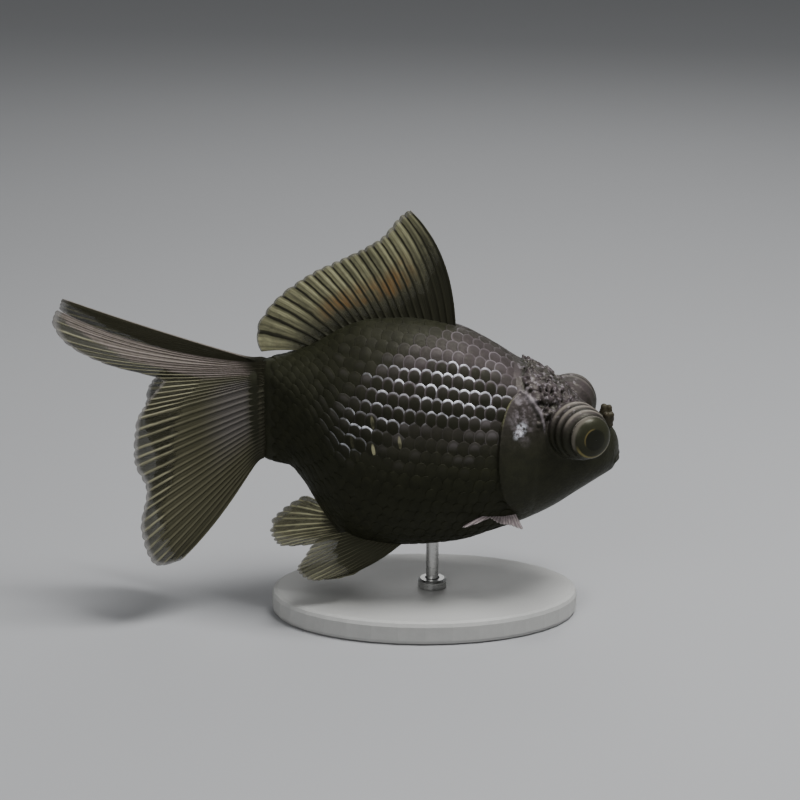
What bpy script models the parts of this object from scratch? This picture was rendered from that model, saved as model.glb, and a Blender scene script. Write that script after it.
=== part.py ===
"""Life-size still model of a black telescope goldfish, held over a small base by one rod.

Metres, +Z up. The fish faces +X, its right side faces -Y, and the origin is the centre of the
underside of the stand's base. Lengths on the fish are shares of its body length, so one number
resizes the whole animal.
"""

import math
from collections import namedtuple

import bmesh
import bpy
import numpy as np

# Driving dimensions, in metres
BODY_LENGTH = 0.0900  # snout tip to the end of the tail stem
SNOUT_X = 0.0490  # the snout's place ahead of the stand's centre
SNOUT_Z = 0.0437  # the snout's height over the floor
GAP = 0.0003  # clearance left between neighbouring pieces
ROOT_SINK = 0.0018  # how far a fin's root starts inside the body, before it is trimmed
TRIM_CLEARANCE = 0.00036  # left round the body by its trimming

# The body's stations. All but the last value are shares: the distance behind the snout, the heights
# of the back and of the belly over the snout and half the width are shares of the body length, and
# the widest place is a share of the section's height. Squareness is the exponent of the section's
# curve: 2 is an ellipse, and more is boxier.
Station = namedtuple("Station", "back top bottom half_width widest squareness")
STATIONS = [
    Station(0.000, 0.045, -0.052, 0.038, 0.50, 2.0),  # lips
    Station(0.020, 0.057, -0.064, 0.056, 0.50, 2.1),
    Station(0.050, 0.084, -0.079, 0.083, 0.47, 2.3),  # nostrils
    Station(0.125, 0.147, -0.123, 0.123, 0.46, 2.5),  # eyes
    Station(0.185, 0.196, -0.160, 0.147, 0.46, 2.6),  # crown
    Station(0.270, 0.245, -0.202, 0.173, 0.44, 2.4),  # nape and cheeks
    Station(0.350, 0.299, -0.235, 0.197, 0.43, 2.1),  # shoulder
    Station(0.460, 0.353, -0.270, 0.217, 0.42, 2.0),  # front of the dorsal fin
    Station(0.600, 0.376, -0.281, 0.217, 0.41, 2.0),  # deepest belly
    Station(0.700, 0.371, -0.278, 0.199, 0.42, 2.0),
    Station(0.767, 0.350, -0.262, 0.172, 0.44, 2.0),  # vent
    Station(0.836, 0.311, -0.179, 0.132, 0.52, 2.0),
    Station(0.886, 0.286, -0.095, 0.104, 0.60, 2.1),  # rump
    Station(0.925, 0.271, -0.052, 0.084, 0.68, 2.2),
    Station(0.970, 0.262, -0.045, 0.060, 0.77, 2.2),
    Station(1.000, 0.256, -0.040, 0.040, 0.78, 2.2),  # end of the tail stem
]
SNOUT_ROUNDING = 0.024  # share of the body length over which the snout rounds off
NAPE_CUT = 0.275  # where the head meets the trunk
STEM_CUT = 0.872  # where the trunk meets the tail stem
SECTION_SIDES = 28
SNOUT_FLAT = 0.0002  # the foremost ring's distance behind the snout's tip
HEAD_RINGS, TRUNK_RINGS, STEM_RINGS = 12, 17, 7
HEAD_RING_CROWDING = 1.7  # above 1, the head's rings crowd towards the snout

# The telescope eyes: a ringed stalk that carries a domed cornea
STALK_BACK = 0.137  # shares of the body length: the stalk base's place behind the snout,
STALK_UP = 0.088  # over the snout,
STALK_OUT = 0.122  # and out from the middle plane
STALK_AXES = {1: (0.22, 0.97, 0.0), -1: (0.43, 0.902, 0.03)}  # left and right: ahead, out and up
STALK_LENGTH = 0.0083
STALK_BURIED = 0.0045
BURIED_RADIUS = 0.0042
# Two broad rolls and a thin lip: shares of the stalk's length, and radii
STALK_PROFILE = [
    (0.00, 0.0068),
    (0.10, 0.0071),
    (0.20, 0.0071),
    (0.29, 0.0066),
    (0.38, 0.0069),
    (0.52, 0.0068),
    (0.70, 0.0064),
    (0.86, 0.0059),
    (0.92, 0.0056),
    (1.00, 0.0057),
]
CORNEA_RADIUS = 0.0053
CORNEA_HEIGHT = 0.0026
EYE_SIDES = 20
CORNEA_RINGS = 4

# Gill covers, lips and nostril flaps
GILL_BACK, GILL_HALF_LENGTH = 0.288, 0.056  # shares of the body length
GILL_ARC = 0.022  # how far its upper and lower ends lie ahead of its middle
GILL_ANGLE, GILL_HALF_ANGLE = 2.0, 46.0  # degrees round the section, 0 at the side
GILL_THICKNESS = 0.0010
GILL_LIFT = 0.0004  # between the plate and the body
GILL_SKEW = 0.15  # how much longer its upper half is
GILL_THINNING = 0.6  # how much thinner its edge is than its middle
GILL_CELLS = 7
LIP_RADIUS = 0.0009
LIP_HALF_WIDTH = 0.0036
LIP_OUT = 0.0002  # how far the lips stand out of the snout
LIP_TAPER = 0.4  # how much thinner they are at the corners of the mouth
LIP_POINTS = 9
MOUTH_DROP = 0.0010
FLAP_HALF_SIZE = (0.0020, 0.0009, 0.0025)
FLAP_BACK, FLAP_OUT, FLAP_RISE = 0.041, 0.0032, 0.0013
FLAP_LEAN = 0.15  # how far its upper part leans ahead, as a share of its half length
FLAP_TILT, FLAP_TURN = -16, -20  # degrees

# Stand
BASE_LENGTH, BASE_WIDTH, BASE_HEIGHT = 0.078, 0.050, 0.006
BASE_EDGE, BASE_SIDES = 0.0012, 36
ROD_X, ROD_RADIUS, ROD_TOP = 0.002, 0.0016, 0.024
COLLAR_RADIUS, COLLAR_HEIGHT, COLLAR_CHAMFER = 0.0036, 0.0022, 0.0005
ROD_SIDES = 20

# A fin is a fan of rays. Its root runs over the body between two places, each the share of the
# body length behind the snout and the degrees round the section, sunk under the body's surface.
# Its thickness is given at the root and at the edge.
Fin = namedtuple("Fin", "root_start root_end sink rays thickness")
# A ray stands at a share of the root. Its heading in side view is 180 for straight back and 90
# for up, its spread is the degrees it leans out from the middle plane, and curl and sweep are
# added to those two by its tip. Its length is a share of the body's.
Ray = namedtuple("Ray", "at heading curl spread sweep length")
DORSAL = Fin(
    (0.458, 90), (0.862, 90), ROOT_SINK,
    [
        Ray(0.00, 93, 44, 0, 2, 0.375),
        Ray(0.08, 98, 33, 1, 2, 0.343),
        Ray(0.25, 106, 22, 1, 2, 0.266),
        Ray(0.45, 116, 14, 2, 1, 0.223),
        Ray(0.65, 128, 10, 1, 0, 0.204),
        Ray(0.82, 142, 8, 0, -2, 0.196),
        Ray(0.94, 157, 8, 0, -3, 0.180),
        Ray(1.00, 176, 12, 0, -3, 0.138),
    ],
    (0.0014, 0.0006),
)
TAIL = Fin(
    (1.006, 62), (1.006, -70), 0.0007,
    [
        Ray(0.00, 168, -12, 17, -32, 0.580),
        Ray(0.06, 169.7, -10, 17, -30, 0.583),
        Ray(0.12, 173, -8, 18, -25, 0.540),
        Ray(0.20, 175.5, -5, 18, -14, 0.428),
        Ray(0.30, 180, -2, 18, -6, 0.268),
        Ray(0.38, 186, -2, 18, -1, 0.305),
        Ray(0.50, 194, -2, 18, 1, 0.360),
        Ray(0.60, 200, -2, 18, 2, 0.374),
        Ray(0.68, 207, -2, 18, 2, 0.360),
        Ray(0.80, 216, -3, 18, 1, 0.414),
        Ray(0.91, 226, -5, 17, -1, 0.432),
        Ray(1.00, 238, -16, 15, -5, 0.372),
    ],
    (0.0012, 0.0006),
)
TAIL_FORK, FORK_GAP = 0.30, 0.024  # shares of the root: where the lobes part, and their gap there
PELVIC = Fin(
    (0.588, -73), (0.735, -60), ROOT_SINK,
    [
        Ray(0.00, 217, -34, 22, 2, 0.236),
        Ray(0.20, 213, -22, 22, 2, 0.248),
        Ray(0.40, 205, -8, 22, 2, 0.262),
        Ray(0.60, 198, -2, 22, 2, 0.252),
        Ray(0.80, 193, 0, 22, 1, 0.190),
        Ray(1.00, 184, 0, 20, 0, 0.112),
    ],
    (0.0011, 0.0006),
)
ANAL = Fin(
    (0.742, -82), (0.820, -80), ROOT_SINK,
    [
        Ray(0.00, 196, 0, 3, 2, 0.135),
        Ray(0.30, 191, 0, 4, 3, 0.198),
        Ray(0.55, 185, 0, 4, 3, 0.196),
        Ray(0.75, 176, 0, 4, 3, 0.146),
        Ray(0.90, 167, 0, 3, 3, 0.100),
        Ray(1.00, 157, -4, 3, 2, 0.066),
    ],
    (0.0009, 0.0006),
)
PECTORAL = Fin(
    (0.301, -42), (0.353, -39), ROOT_SINK,
    [
        Ray(0.00, 303, 0, 40, 4, 0.070),
        Ray(0.25, 281, 0, 40, 4, 0.052),
        Ray(0.50, 255, 0, 40, 4, 0.043),
        Ray(0.75, 212, 0, 40, 4, 0.040),
        Ray(1.00, 188, 12, 40, 2, 0.125),
    ],
    (0.0010, 0.0006),
)

# Colour (linear RGB), roughness and metallic value of each material
BLACK_SKIN = ("black_skin", (0.020, 0.019, 0.015), 0.35, 0.0)
NAPE_SKIN = ("nape_skin", (0.030, 0.027, 0.026), 0.30, 0.0)
FIN_SKIN = ("fin_skin", (0.065, 0.062, 0.040), 0.40, 0.0)
CORNEA = ("cornea", (0.012, 0.013, 0.008), 0.05, 0.0)
STAND_PAINT = ("stand_paint", (0.42, 0.42, 0.40), 0.55, 0.0)
STEEL = ("steel", (0.55, 0.55, 0.54), 0.28, 1.0)


def clear_scene():
    for obj in list(bpy.data.objects):
        bpy.data.objects.remove(obj)


def new_collection(name, hidden=False):
    collection = bpy.data.collections.new(name)
    bpy.context.scene.collection.children.link(collection)
    collection.hide_render = hidden
    return collection


def material(spec):
    name, colour, roughness, metallic = spec
    found = bpy.data.materials.get(name)
    if found:
        return found
    made = bpy.data.materials.new(name)
    made.use_nodes = True
    shader = made.node_tree.nodes["Principled BSDF"]
    shader.inputs["Base Color"].default_value = (*colour, 1.0)
    shader.inputs["Roughness"].default_value = roughness
    shader.inputs["Metallic"].default_value = metallic
    return made


def add_mesh(name, mesh, collection, spec=None):
    obj = bpy.data.objects.new(name, mesh)
    collection.objects.link(obj)
    if spec:
        mesh.materials.clear()
        mesh.materials.append(material(spec))
    return obj


def mesh_from(name, points, faces):
    """A mesh whose faces all point outwards, shaded smooth."""
    mesh = bpy.data.meshes.new(name)
    mesh.from_pydata([tuple(p) for p in points], [], faces)
    shape = bmesh.new()
    shape.from_mesh(mesh)
    bmesh.ops.recalc_face_normals(shape, faces=shape.faces)
    shape.to_mesh(mesh)
    shape.free()
    mesh.shade_smooth()
    return mesh


def smooth_curve(places, values, at):
    """Monotone cubic interpolation: it never overshoots its key values."""
    x, y, at = (np.asarray(v, float) for v in (places, values, at))
    step = np.diff(x)
    slope = np.diff(y) / step
    tangent = np.zeros_like(y)
    tangent[0], tangent[-1] = slope[0], slope[-1]
    for i in range(1, len(x) - 1):
        if slope[i - 1] * slope[i] > 0:
            tangent[i] = 2 / (1 / slope[i - 1] + 1 / slope[i])
    i = np.clip(np.searchsorted(x, at) - 1, 0, len(step) - 1)
    t = np.clip((at - x[i]) / step[i], 0, 1)
    return (
        (1 + 2 * t) * (1 - t) ** 2 * y[i]
        + t * (1 - t) ** 2 * step[i] * tangent[i]
        + t * t * (3 - 2 * t) * y[i + 1]
        + t * t * (t - 1) * step[i] * tangent[i + 1]
    )


def section(back):
    """Back, belly, half width, widest height (metres) and squareness at a share of the length."""
    places = [s.back for s in STATIONS]
    top, bottom, half_width, widest, squareness = (
        smooth_curve(places, [getattr(s, field) for s in STATIONS], back)
        for field in ("top", "bottom", "half_width", "widest", "squareness")
    )
    near = np.clip(1 - np.asarray(back, float) / SNOUT_ROUNDING, 0, 1)
    rounding = np.sqrt(np.clip(1 - near**2, 0, 1))
    middle = (top + bottom) / 2
    top = middle + (top - middle) * rounding
    bottom = middle + (bottom - middle) * rounding
    widest = bottom + widest * (top - bottom)
    return *(v * BODY_LENGTH for v in (top, bottom, half_width * rounding, widest)), squareness


def body_point(back, degrees, lift=0.0):
    """A point on the body's left side, or lift outside it: 0 degrees is the side, 90 the back."""
    back, angle = np.asarray(back, float), np.radians(np.asarray(degrees, float))
    top, bottom, half_width, widest, squareness = section(back)
    rise = np.where(np.sin(angle) > 0, top - widest, widest - bottom)
    across, up = (np.sign(v) * np.abs(v) ** (2 / squareness) for v in (np.cos(angle), np.sin(angle)))
    x = np.broadcast_to(SNOUT_X - back * BODY_LENGTH, np.shape(across))
    out_y, out_z = (
        np.sign(v) * np.abs(v) ** (squareness - 1) / np.maximum(size, 1e-6)
        for v, size in ((across, half_width), (up, rise))
    )
    norm = np.hypot(out_y, out_z)
    y = half_width * across + lift * out_y / norm
    z = SNOUT_Z + widest + rise * up + lift * out_z / norm
    return np.stack([x, y, z], axis=-1)


def loft_body(name, places):
    """A closed length of the body, with a ring of points at each share of its length."""
    n = SECTION_SIDES
    angles = np.arange(n) * 360 / n
    points = np.concatenate([body_point(place, angles) for place in places])
    faces = [
        (r * n + k, r * n + (k + 1) % n, (r + 1) * n + (k + 1) % n, (r + 1) * n + k)
        for r in range(len(places) - 1)
        for k in range(n)
    ]
    faces.append(tuple(range(n)))
    faces.append(tuple(range((len(places) - 1) * n, len(places) * n)))
    mesh = mesh_from(name, points, faces)
    mesh.set_sharp_from_angle(angle=math.radians(50))
    return mesh


def add_body(parts, cutters):
    """The head, trunk and tail stem, and the grown body that trims whatever grows from it."""
    half_gap = GAP / 2 / BODY_LENGTH
    snout_end = SNOUT_FLAT / BODY_LENGTH
    head_share = np.linspace(0, 1, HEAD_RINGS) ** HEAD_RING_CROWDING
    lengths = {
        "head": snout_end + (NAPE_CUT - half_gap - snout_end) * head_share,
        "trunk": np.linspace(NAPE_CUT + half_gap, STEM_CUT - half_gap, TRUNK_RINGS),
        "tail_stem": np.linspace(STEM_CUT + half_gap, 1, STEM_RINGS),
    }
    for name, places in lengths.items():
        add_mesh(name, loft_body(name, places), parts, BLACK_SKIN)
    whole = np.concatenate(list(lengths.values()))
    grown = add_mesh("body_clearance", loft_body("body_clearance", whole), cutters)
    grown.hide_render = True
    grown.display_type = "WIRE"
    offset = grown.modifiers.new("grow", "DISPLACE")
    offset.strength = TRIM_CLEARANCE
    offset.mid_level = 0
    return grown


def trim(obj, cutter):
    cut = obj.modifiers.new("trim", "BOOLEAN")
    cut.operation = "DIFFERENCE"
    cut.solver = "EXACT"
    cut.object = cutter


def fin_surface(fin, start, end, across, along):
    """Points of a fan of curved rays, as an array of across by along."""
    u = np.linspace(start, end, across)
    at = [ray.at for ray in fin.rays]
    heading, curl, spread, sweep, length = (
        smooth_curve(at, [getattr(ray, field) for ray in fin.rays], u)[:, None]
        for field in ("heading", "curl", "spread", "sweep", "length")
    )
    back = fin.root_start[0] + (fin.root_end[0] - fin.root_start[0]) * u
    around = fin.root_start[1] + (fin.root_end[1] - fin.root_start[1]) * u
    root = body_point(back, around, -fin.sink)[:, None]
    v = (np.arange(along - 1) + 0.5) / (along - 1)
    h = np.radians(heading + curl * v**1.5)
    s = np.radians(spread + sweep * v**1.5)
    step = length * BODY_LENGTH / (along - 1)
    moves = np.stack([np.cos(h) * np.cos(s) * step, np.sin(s) * step, np.sin(h) * np.cos(s) * step], axis=-1)
    return np.concatenate([root, root + np.cumsum(moves, axis=1)], axis=1)


def add_fin(name, fin, side, parts, cutter=None, size=(9, 6), span=(0.0, 1.0)):
    """A solid fin, thick at the root and thin at the edge. side is 1 for left, -1 for right.

    size is its points across the rays and along them, and span is the part of the root it covers.
    """
    across, along = size
    bpy.ops.mesh.primitive_grid_add(x_subdivisions=across - 1, y_subdivisions=along - 1)
    sheet = bpy.context.object
    for collection in sheet.users_collection:
        collection.objects.unlink(sheet)
    parts.objects.link(sheet)
    sheet.name = name
    mesh = sheet.data
    surface = fin_surface(fin, *span, across, along)
    surface[..., 1] *= side
    group = sheet.vertex_groups.new(name="thickness")
    root, edge = fin.thickness
    for vertex in mesh.vertices:
        i = round((vertex.co.x + 1) / 2 * (across - 1))
        j = round((vertex.co.y + 1) / 2 * (along - 1))
        share = 1 - j / (along - 1)
        group.add([vertex.index], (edge + (root - edge) * share) / root, "REPLACE")
        vertex.co = surface[i, j]
    thick = sheet.modifiers.new("thickness", "SOLIDIFY")
    thick.thickness = root
    thick.offset = 0
    thick.vertex_group = group.name
    if cutter:
        trim(sheet, cutter)
    mesh.materials.append(material(FIN_SKIN))
    mesh.shade_smooth()
    return sheet


def add_fins(parts, cutter):
    add_fin("dorsal_fin", DORSAL, 1, parts, cutter, (18, 8))
    upper = 0.0, TAIL_FORK - FORK_GAP / 2
    lower = TAIL_FORK + FORK_GAP / 2, 1.0
    for side, word in ((1, "left"), (-1, "right")):
        add_fin(f"tail_upper_lobe_{word}", TAIL, side, parts, None, (9, 9), upper)
        add_fin(f"tail_lower_lobe_{word}", TAIL, side, parts, None, (14, 7), lower)
        add_fin(f"pectoral_fin_{word}", PECTORAL, side, parts, cutter)
        add_fin(f"pelvic_fin_{word}", PELVIC, side, parts, cutter)
        add_fin(f"anal_fin_{word}", ANAL, side, parts, cutter, (7, 5))


def turned(name, profile, sides, parts, spec, ring=False):
    """A solid of revolution about its own Z axis. The profile runs from the top to the bottom."""
    mesh = bpy.data.meshes.new(name)
    edges = [(i, i + 1) for i in range(len(profile) - 1)]
    if ring:
        edges.append((len(profile) - 1, 0))
    mesh.from_pydata([(r, 0, z) for z, r in profile], edges, [])
    obj = add_mesh(name, mesh, parts, spec)
    screw = obj.modifiers.new("turn", "SCREW")
    screw.axis = "Z"
    screw.steps = screw.render_steps = sides
    screw.use_merge_vertices = True
    screw.merge_threshold = 0.00005
    screw.use_smooth_shade = True
    return obj


def add_eyes(parts, cutter):
    outside = [(STALK_LENGTH * share, radius) for share, radius in reversed(STALK_PROFILE)]
    stalk = [(STALK_LENGTH, 0.0), *outside, (-STALK_BURIED, BURIED_RADIUS), (-STALK_BURIED, 0.0)]
    seat = STALK_LENGTH + GAP
    arc = [math.pi / 2 * k / CORNEA_RINGS for k in range(CORNEA_RINGS, -1, -1)]
    dome = [(seat + CORNEA_HEIGHT * math.sin(a), CORNEA_RADIUS * math.cos(a)) for a in arc]
    dome[0] = (seat + CORNEA_HEIGHT, 0.0)
    dome.append((seat, 0.0))
    for side, word in ((1, "left"), (-1, "right")):
        forward, outward, upward = STALK_AXES[side]
        out = SNOUT_X - STALK_BACK * BODY_LENGTH, side * STALK_OUT * BODY_LENGTH
        place = (*out, SNOUT_Z + STALK_UP * BODY_LENGTH)
        yaw = math.atan2(side * outward, forward)
        pitch = math.acos(upward / math.hypot(forward, outward, upward))
        for name, profile, spec in (("eye_stalk", stalk, BLACK_SKIN), ("eye", dome, CORNEA)):
            obj = turned(f"{name}_{word}", profile, EYE_SIDES, parts, spec)
            obj.location = place
            obj.rotation_euler = (0, pitch, yaw)
            if name == "eye_stalk":
                trim(obj, cutter)


def add_gill_covers(parts):
    """Thin curved plates that lie over the cheek and the front of the trunk."""
    for side, word in ((1, "left"), (-1, "right")):
        bpy.ops.mesh.primitive_grid_add(x_subdivisions=GILL_CELLS, y_subdivisions=GILL_CELLS)
        plate = bpy.context.object
        for collection in plate.users_collection:
            collection.objects.unlink(plate)
        parts.objects.link(plate)
        plate.name = f"gill_cover_{word}"
        group = plate.vertex_groups.new(name="thickness")
        for vertex in plate.data.vertices:
            p, q = vertex.co.x, vertex.co.y
            disc_p = p * math.sqrt(1 - q * q / 2)
            disc_q = q * math.sqrt(1 - p * p / 2)
            half_length = GILL_HALF_LENGTH * (1 + GILL_SKEW * disc_q)
            back = GILL_BACK - GILL_ARC * disc_q**2 + half_length * disc_p
            around = GILL_ANGLE + GILL_HALF_ANGLE * disc_q
            spot = body_point(back, around, GILL_LIFT)
            vertex.co = (spot[0], side * spot[1], spot[2])
            edge = math.hypot(disc_p, disc_q) ** 3
            group.add([vertex.index], 1 - GILL_THINNING * edge, "REPLACE")
        thick = plate.modifiers.new("thickness", "SOLIDIFY")
        thick.thickness = GILL_THICKNESS
        thick.offset = side
        thick.vertex_group = group.name
        plate.data.materials.append(material(BLACK_SKIN))
        plate.data.shade_smooth()


def add_lips(parts, cutter):
    """Two bent rolls round the front of the snout, thinner towards the corners of the mouth."""
    backs = np.linspace(0, STATIONS[3].back, 60)
    widths = section(backs)[2]
    for name, rise in (("lip_upper", 1), ("lip_lower", -1)):
        curve = bpy.data.curves.new(name, "CURVE")
        curve.dimensions = "3D"
        curve.bevel_depth = LIP_RADIUS
        curve.bevel_resolution = 2
        curve.use_fill_caps = True
        spline = curve.splines.new("POLY")
        spline.points.add(LIP_POINTS - 1)
        for k, point in enumerate(spline.points):
            share = 2 * k / (LIP_POINTS - 1) - 1
            y = LIP_HALF_WIDTH * share
            fullness = 1 - LIP_TAPER * abs(share)
            x = SNOUT_X + LIP_OUT - BODY_LENGTH * np.interp(abs(y), widths, backs)
            z = SNOUT_Z - MOUTH_DROP + rise * (LIP_RADIUS * fullness + GAP / 2)
            point.co = (x - LIP_RADIUS / 2, y, z, 1)
            point.radius = fullness
        roll = bpy.data.objects.new(name + "_curve", curve)
        parts.objects.link(roll)
        graph = bpy.context.evaluated_depsgraph_get()
        mesh = bpy.data.meshes.new_from_object(roll.evaluated_get(graph))
        shape = bmesh.new()
        shape.from_mesh(mesh)
        bmesh.ops.remove_doubles(shape, verts=shape.verts, dist=0.00001)
        bmesh.ops.recalc_face_normals(shape, faces=shape.faces)
        shape.to_mesh(mesh)
        shape.free()
        bpy.data.objects.remove(roll)
        trim(add_mesh(name, mesh, parts, BLACK_SKIN), cutter)


def add_nostril_flaps(parts, cutter):
    for side, word in ((1, "left"), (-1, "right")):
        mesh = bpy.data.meshes.new(f"nostril_flap_{word}")
        shape = bmesh.new()
        bmesh.ops.create_uvsphere(shape, u_segments=10, v_segments=6, radius=1)
        for vertex in shape.verts:
            vertex.co.x += FLAP_LEAN * (vertex.co.z + 1)
        shape.to_mesh(mesh)
        shape.free()
        mesh.shade_smooth()
        flap = add_mesh(mesh.name, mesh, parts, NAPE_SKIN)
        top = section(FLAP_BACK)[0]
        flap.scale = FLAP_HALF_SIZE
        flap.location = (SNOUT_X - FLAP_BACK * BODY_LENGTH, side * FLAP_OUT, SNOUT_Z + top + FLAP_RISE)
        flap.rotation_euler = (math.radians(FLAP_TILT * side), 0, math.radians(FLAP_TURN * side))
        trim(flap, cutter)


def add_stand(parts, cutter):
    """A flat oval base, and one rod that stands in a collar and reaches the belly."""
    mesh = bpy.data.meshes.new("stand_base")
    shape = bmesh.new()
    bmesh.ops.create_cone(
        shape, cap_ends=True, segments=BASE_SIDES, radius1=0.5, radius2=0.5, depth=BASE_HEIGHT
    )
    for vertex in shape.verts:
        vertex.co.x *= BASE_LENGTH
        vertex.co.y *= BASE_WIDTH
        vertex.co.z += BASE_HEIGHT / 2
    shape.to_mesh(mesh)
    shape.free()
    base = add_mesh("stand_base", mesh, parts, STAND_PAINT)
    rounded = base.modifiers.new("edge", "BEVEL")
    rounded.width = BASE_EDGE
    rounded.segments = 2
    rounded.limit_method = "ANGLE"
    rounded.angle_limit = math.radians(60)
    foot = BASE_HEIGHT + GAP
    rod_profile = [(ROD_TOP, 0.0), (ROD_TOP, ROD_RADIUS), (foot, ROD_RADIUS), (foot, 0.0)]
    rod = turned("stand_rod", rod_profile, ROD_SIDES, parts, STEEL)
    rod.location.x = ROD_X
    trim(rod, cutter)
    inner, outer = ROD_RADIUS + GAP, COLLAR_RADIUS
    crown = foot + COLLAR_HEIGHT
    shoulder = [(crown, outer - COLLAR_CHAMFER), (crown - COLLAR_CHAMFER, outer)]
    ring = [(crown, inner), *shoulder, (foot, outer), (foot, inner)]
    collar = turned("stand_collar", ring, ROD_SIDES, parts, STEEL, ring=True)
    collar.location.x = ROD_X


def main():
    clear_scene()
    parts = new_collection("telescope_goldfish")
    cutters = new_collection("cutters", hidden=True)
    cutter = add_body(parts, cutters)
    add_eyes(parts, cutter)
    add_gill_covers(parts)
    add_lips(parts, cutter)
    add_nostril_flaps(parts, cutter)
    add_fins(parts, cutter)
    add_stand(parts, cutter)


main()
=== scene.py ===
"""Dresses a black telescope goldfish model: one skin, two coats of scales, rayed fins and eyes.

Metres, +Z up. The fish faces +X and its right side faces -Y. Lengths on the fish are shares of its
body length, which is read from the model's solids.
"""

import math
from collections import namedtuple

import bpy
import numpy as np
from mathutils import Matrix, Vector


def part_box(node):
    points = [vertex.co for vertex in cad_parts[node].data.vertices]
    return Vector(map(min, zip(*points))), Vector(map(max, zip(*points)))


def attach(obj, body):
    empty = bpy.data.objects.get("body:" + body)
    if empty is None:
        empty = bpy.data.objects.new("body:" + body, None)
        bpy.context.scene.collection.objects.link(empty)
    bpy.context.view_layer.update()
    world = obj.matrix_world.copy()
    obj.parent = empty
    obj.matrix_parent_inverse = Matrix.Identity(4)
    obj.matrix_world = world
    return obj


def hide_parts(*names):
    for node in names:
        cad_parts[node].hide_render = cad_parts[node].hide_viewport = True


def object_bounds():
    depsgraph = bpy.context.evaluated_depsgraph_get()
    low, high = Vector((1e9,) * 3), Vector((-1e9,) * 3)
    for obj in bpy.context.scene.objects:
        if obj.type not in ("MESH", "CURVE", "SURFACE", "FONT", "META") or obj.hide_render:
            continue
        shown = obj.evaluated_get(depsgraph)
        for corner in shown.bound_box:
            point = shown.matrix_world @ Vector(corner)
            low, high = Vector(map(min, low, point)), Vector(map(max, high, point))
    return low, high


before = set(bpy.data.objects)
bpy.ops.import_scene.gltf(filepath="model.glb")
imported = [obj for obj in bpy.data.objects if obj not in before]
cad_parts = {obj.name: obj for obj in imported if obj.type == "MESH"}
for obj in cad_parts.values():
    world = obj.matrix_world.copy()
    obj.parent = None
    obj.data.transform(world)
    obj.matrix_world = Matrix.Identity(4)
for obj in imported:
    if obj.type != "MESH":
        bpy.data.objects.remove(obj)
CAD_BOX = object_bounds()

bl_info = {
    "name": "Black Telescope Goldfish",
    "version": (1, 0, 0),
    "blender": (4, 5, 0),
    "location": "3D View > Sidebar > Goldfish",
    "description": "Makes the skin, scales, fins, eyes and stage of a goldfish display model",
    "category": "Add Mesh",
}

# The body's stations, as shares of its length: the distance behind the snout, the heights of the
# back and the belly over the snout, half the width, the widest place as a share of the section's
# height, and the squareness of the section's curve.
STATIONS = np.array([
    (0.000, 0.045, -0.052, 0.038, 0.50, 2.0), (0.020, 0.057, -0.064, 0.056, 0.50, 2.1),
    (0.050, 0.084, -0.079, 0.083, 0.47, 2.3), (0.125, 0.147, -0.123, 0.123, 0.46, 2.5),
    (0.185, 0.196, -0.160, 0.147, 0.46, 2.6), (0.270, 0.245, -0.202, 0.173, 0.44, 2.4),
    (0.350, 0.299, -0.235, 0.197, 0.43, 2.1), (0.460, 0.353, -0.270, 0.217, 0.42, 2.0),
    (0.600, 0.376, -0.281, 0.217, 0.41, 2.0), (0.700, 0.371, -0.278, 0.199, 0.42, 2.0),
    (0.767, 0.350, -0.262, 0.172, 0.44, 2.0), (0.836, 0.311, -0.179, 0.132, 0.52, 2.0),
    (0.886, 0.286, -0.095, 0.104, 0.60, 2.1), (0.925, 0.271, -0.052, 0.084, 0.68, 2.2),
    (0.970, 0.262, -0.045, 0.060, 0.77, 2.2), (1.000, 0.256, -0.040, 0.040, 0.78, 2.2),
])
SNOUT_ROUNDING = 0.024
SIDES = ((1, "left"), (-1, "right"))
SNOUT_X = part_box("head")[1].x
LENGTH = SNOUT_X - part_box("tail_stem")[0].x
SNOUT_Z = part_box("trunk")[1].z - STATIONS[:, 1].max() * LENGTH

# The eye stalks: their place (shares of the body length: back, out, up), their axes on the left and
# the right, and their outline from base to rim as (share of the length, radius in mm)
STALK_PLACE = (0.137, 0.122, 0.088)
STALK_AXES = {1: (0.22, 0.97, 0.0), -1: (0.43, 0.902, 0.03)}
STALK_OUTLINE = np.array([
    (-0.300, 6.30), (-0.140, 6.70), (0.000, 7.05), (0.080, 7.20), (0.150, 7.05), (0.200, 6.78),
    (0.250, 6.52), (0.300, 6.62), (0.360, 6.86), (0.430, 6.92), (0.490, 6.66), (0.540, 6.34),
    (0.580, 6.24), (0.630, 6.30), (0.700, 6.35), (0.780, 6.10), (0.850, 5.75), (0.900, 5.20),
    (0.945, 5.35), (1.000, 5.50),
])
# The outline without its rolls, and how much of the rolls the left stalk keeps
PLAIN_STALK = np.array([(-0.3, 6.6), (0.0, 7.2), (0.35, 7.1), (0.8, 6.2), (1.0, 5.6)])
LEFT_ROLLS = 0.35
STALK_CRESTS = (0.09, 0.41, 0.70, 1.00)
STALK_GROOVES = (0.25, 0.57, 0.90)

# The gill cover is a disc bent over the cheek: its middle (share of the body length, degrees round
# the section), its half sizes in the same units, how far its ends bow forward, and how much longer
# its upper half is than its lower one
Gill = namedtuple("Gill", "back degrees half_along half_around bow lean")
GILL = Gill(0.288, 2.0, 0.056, 46.0, 0.022, 0.15)
GILL_POINTS = 45

# The lower and upper edge of the band of painted crest highlights: shares of the body length, and
# degrees
BAND_EDGES = (
    ((0.34, 0.48, 0.60, 0.70, 0.78), (31, 28, 26, 17, 7)),
    ((0.34, 0.48, 0.56, 0.70, 0.78), (47, 46, 41, 38, 23)),
)

# The skin is sunk by the coat's depth behind these two places (shares of the body length)
COAT_START = (0.27, 0.33)
# How often the skin's stair steps are evened out
RELAX_ROUNDS = 4

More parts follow.
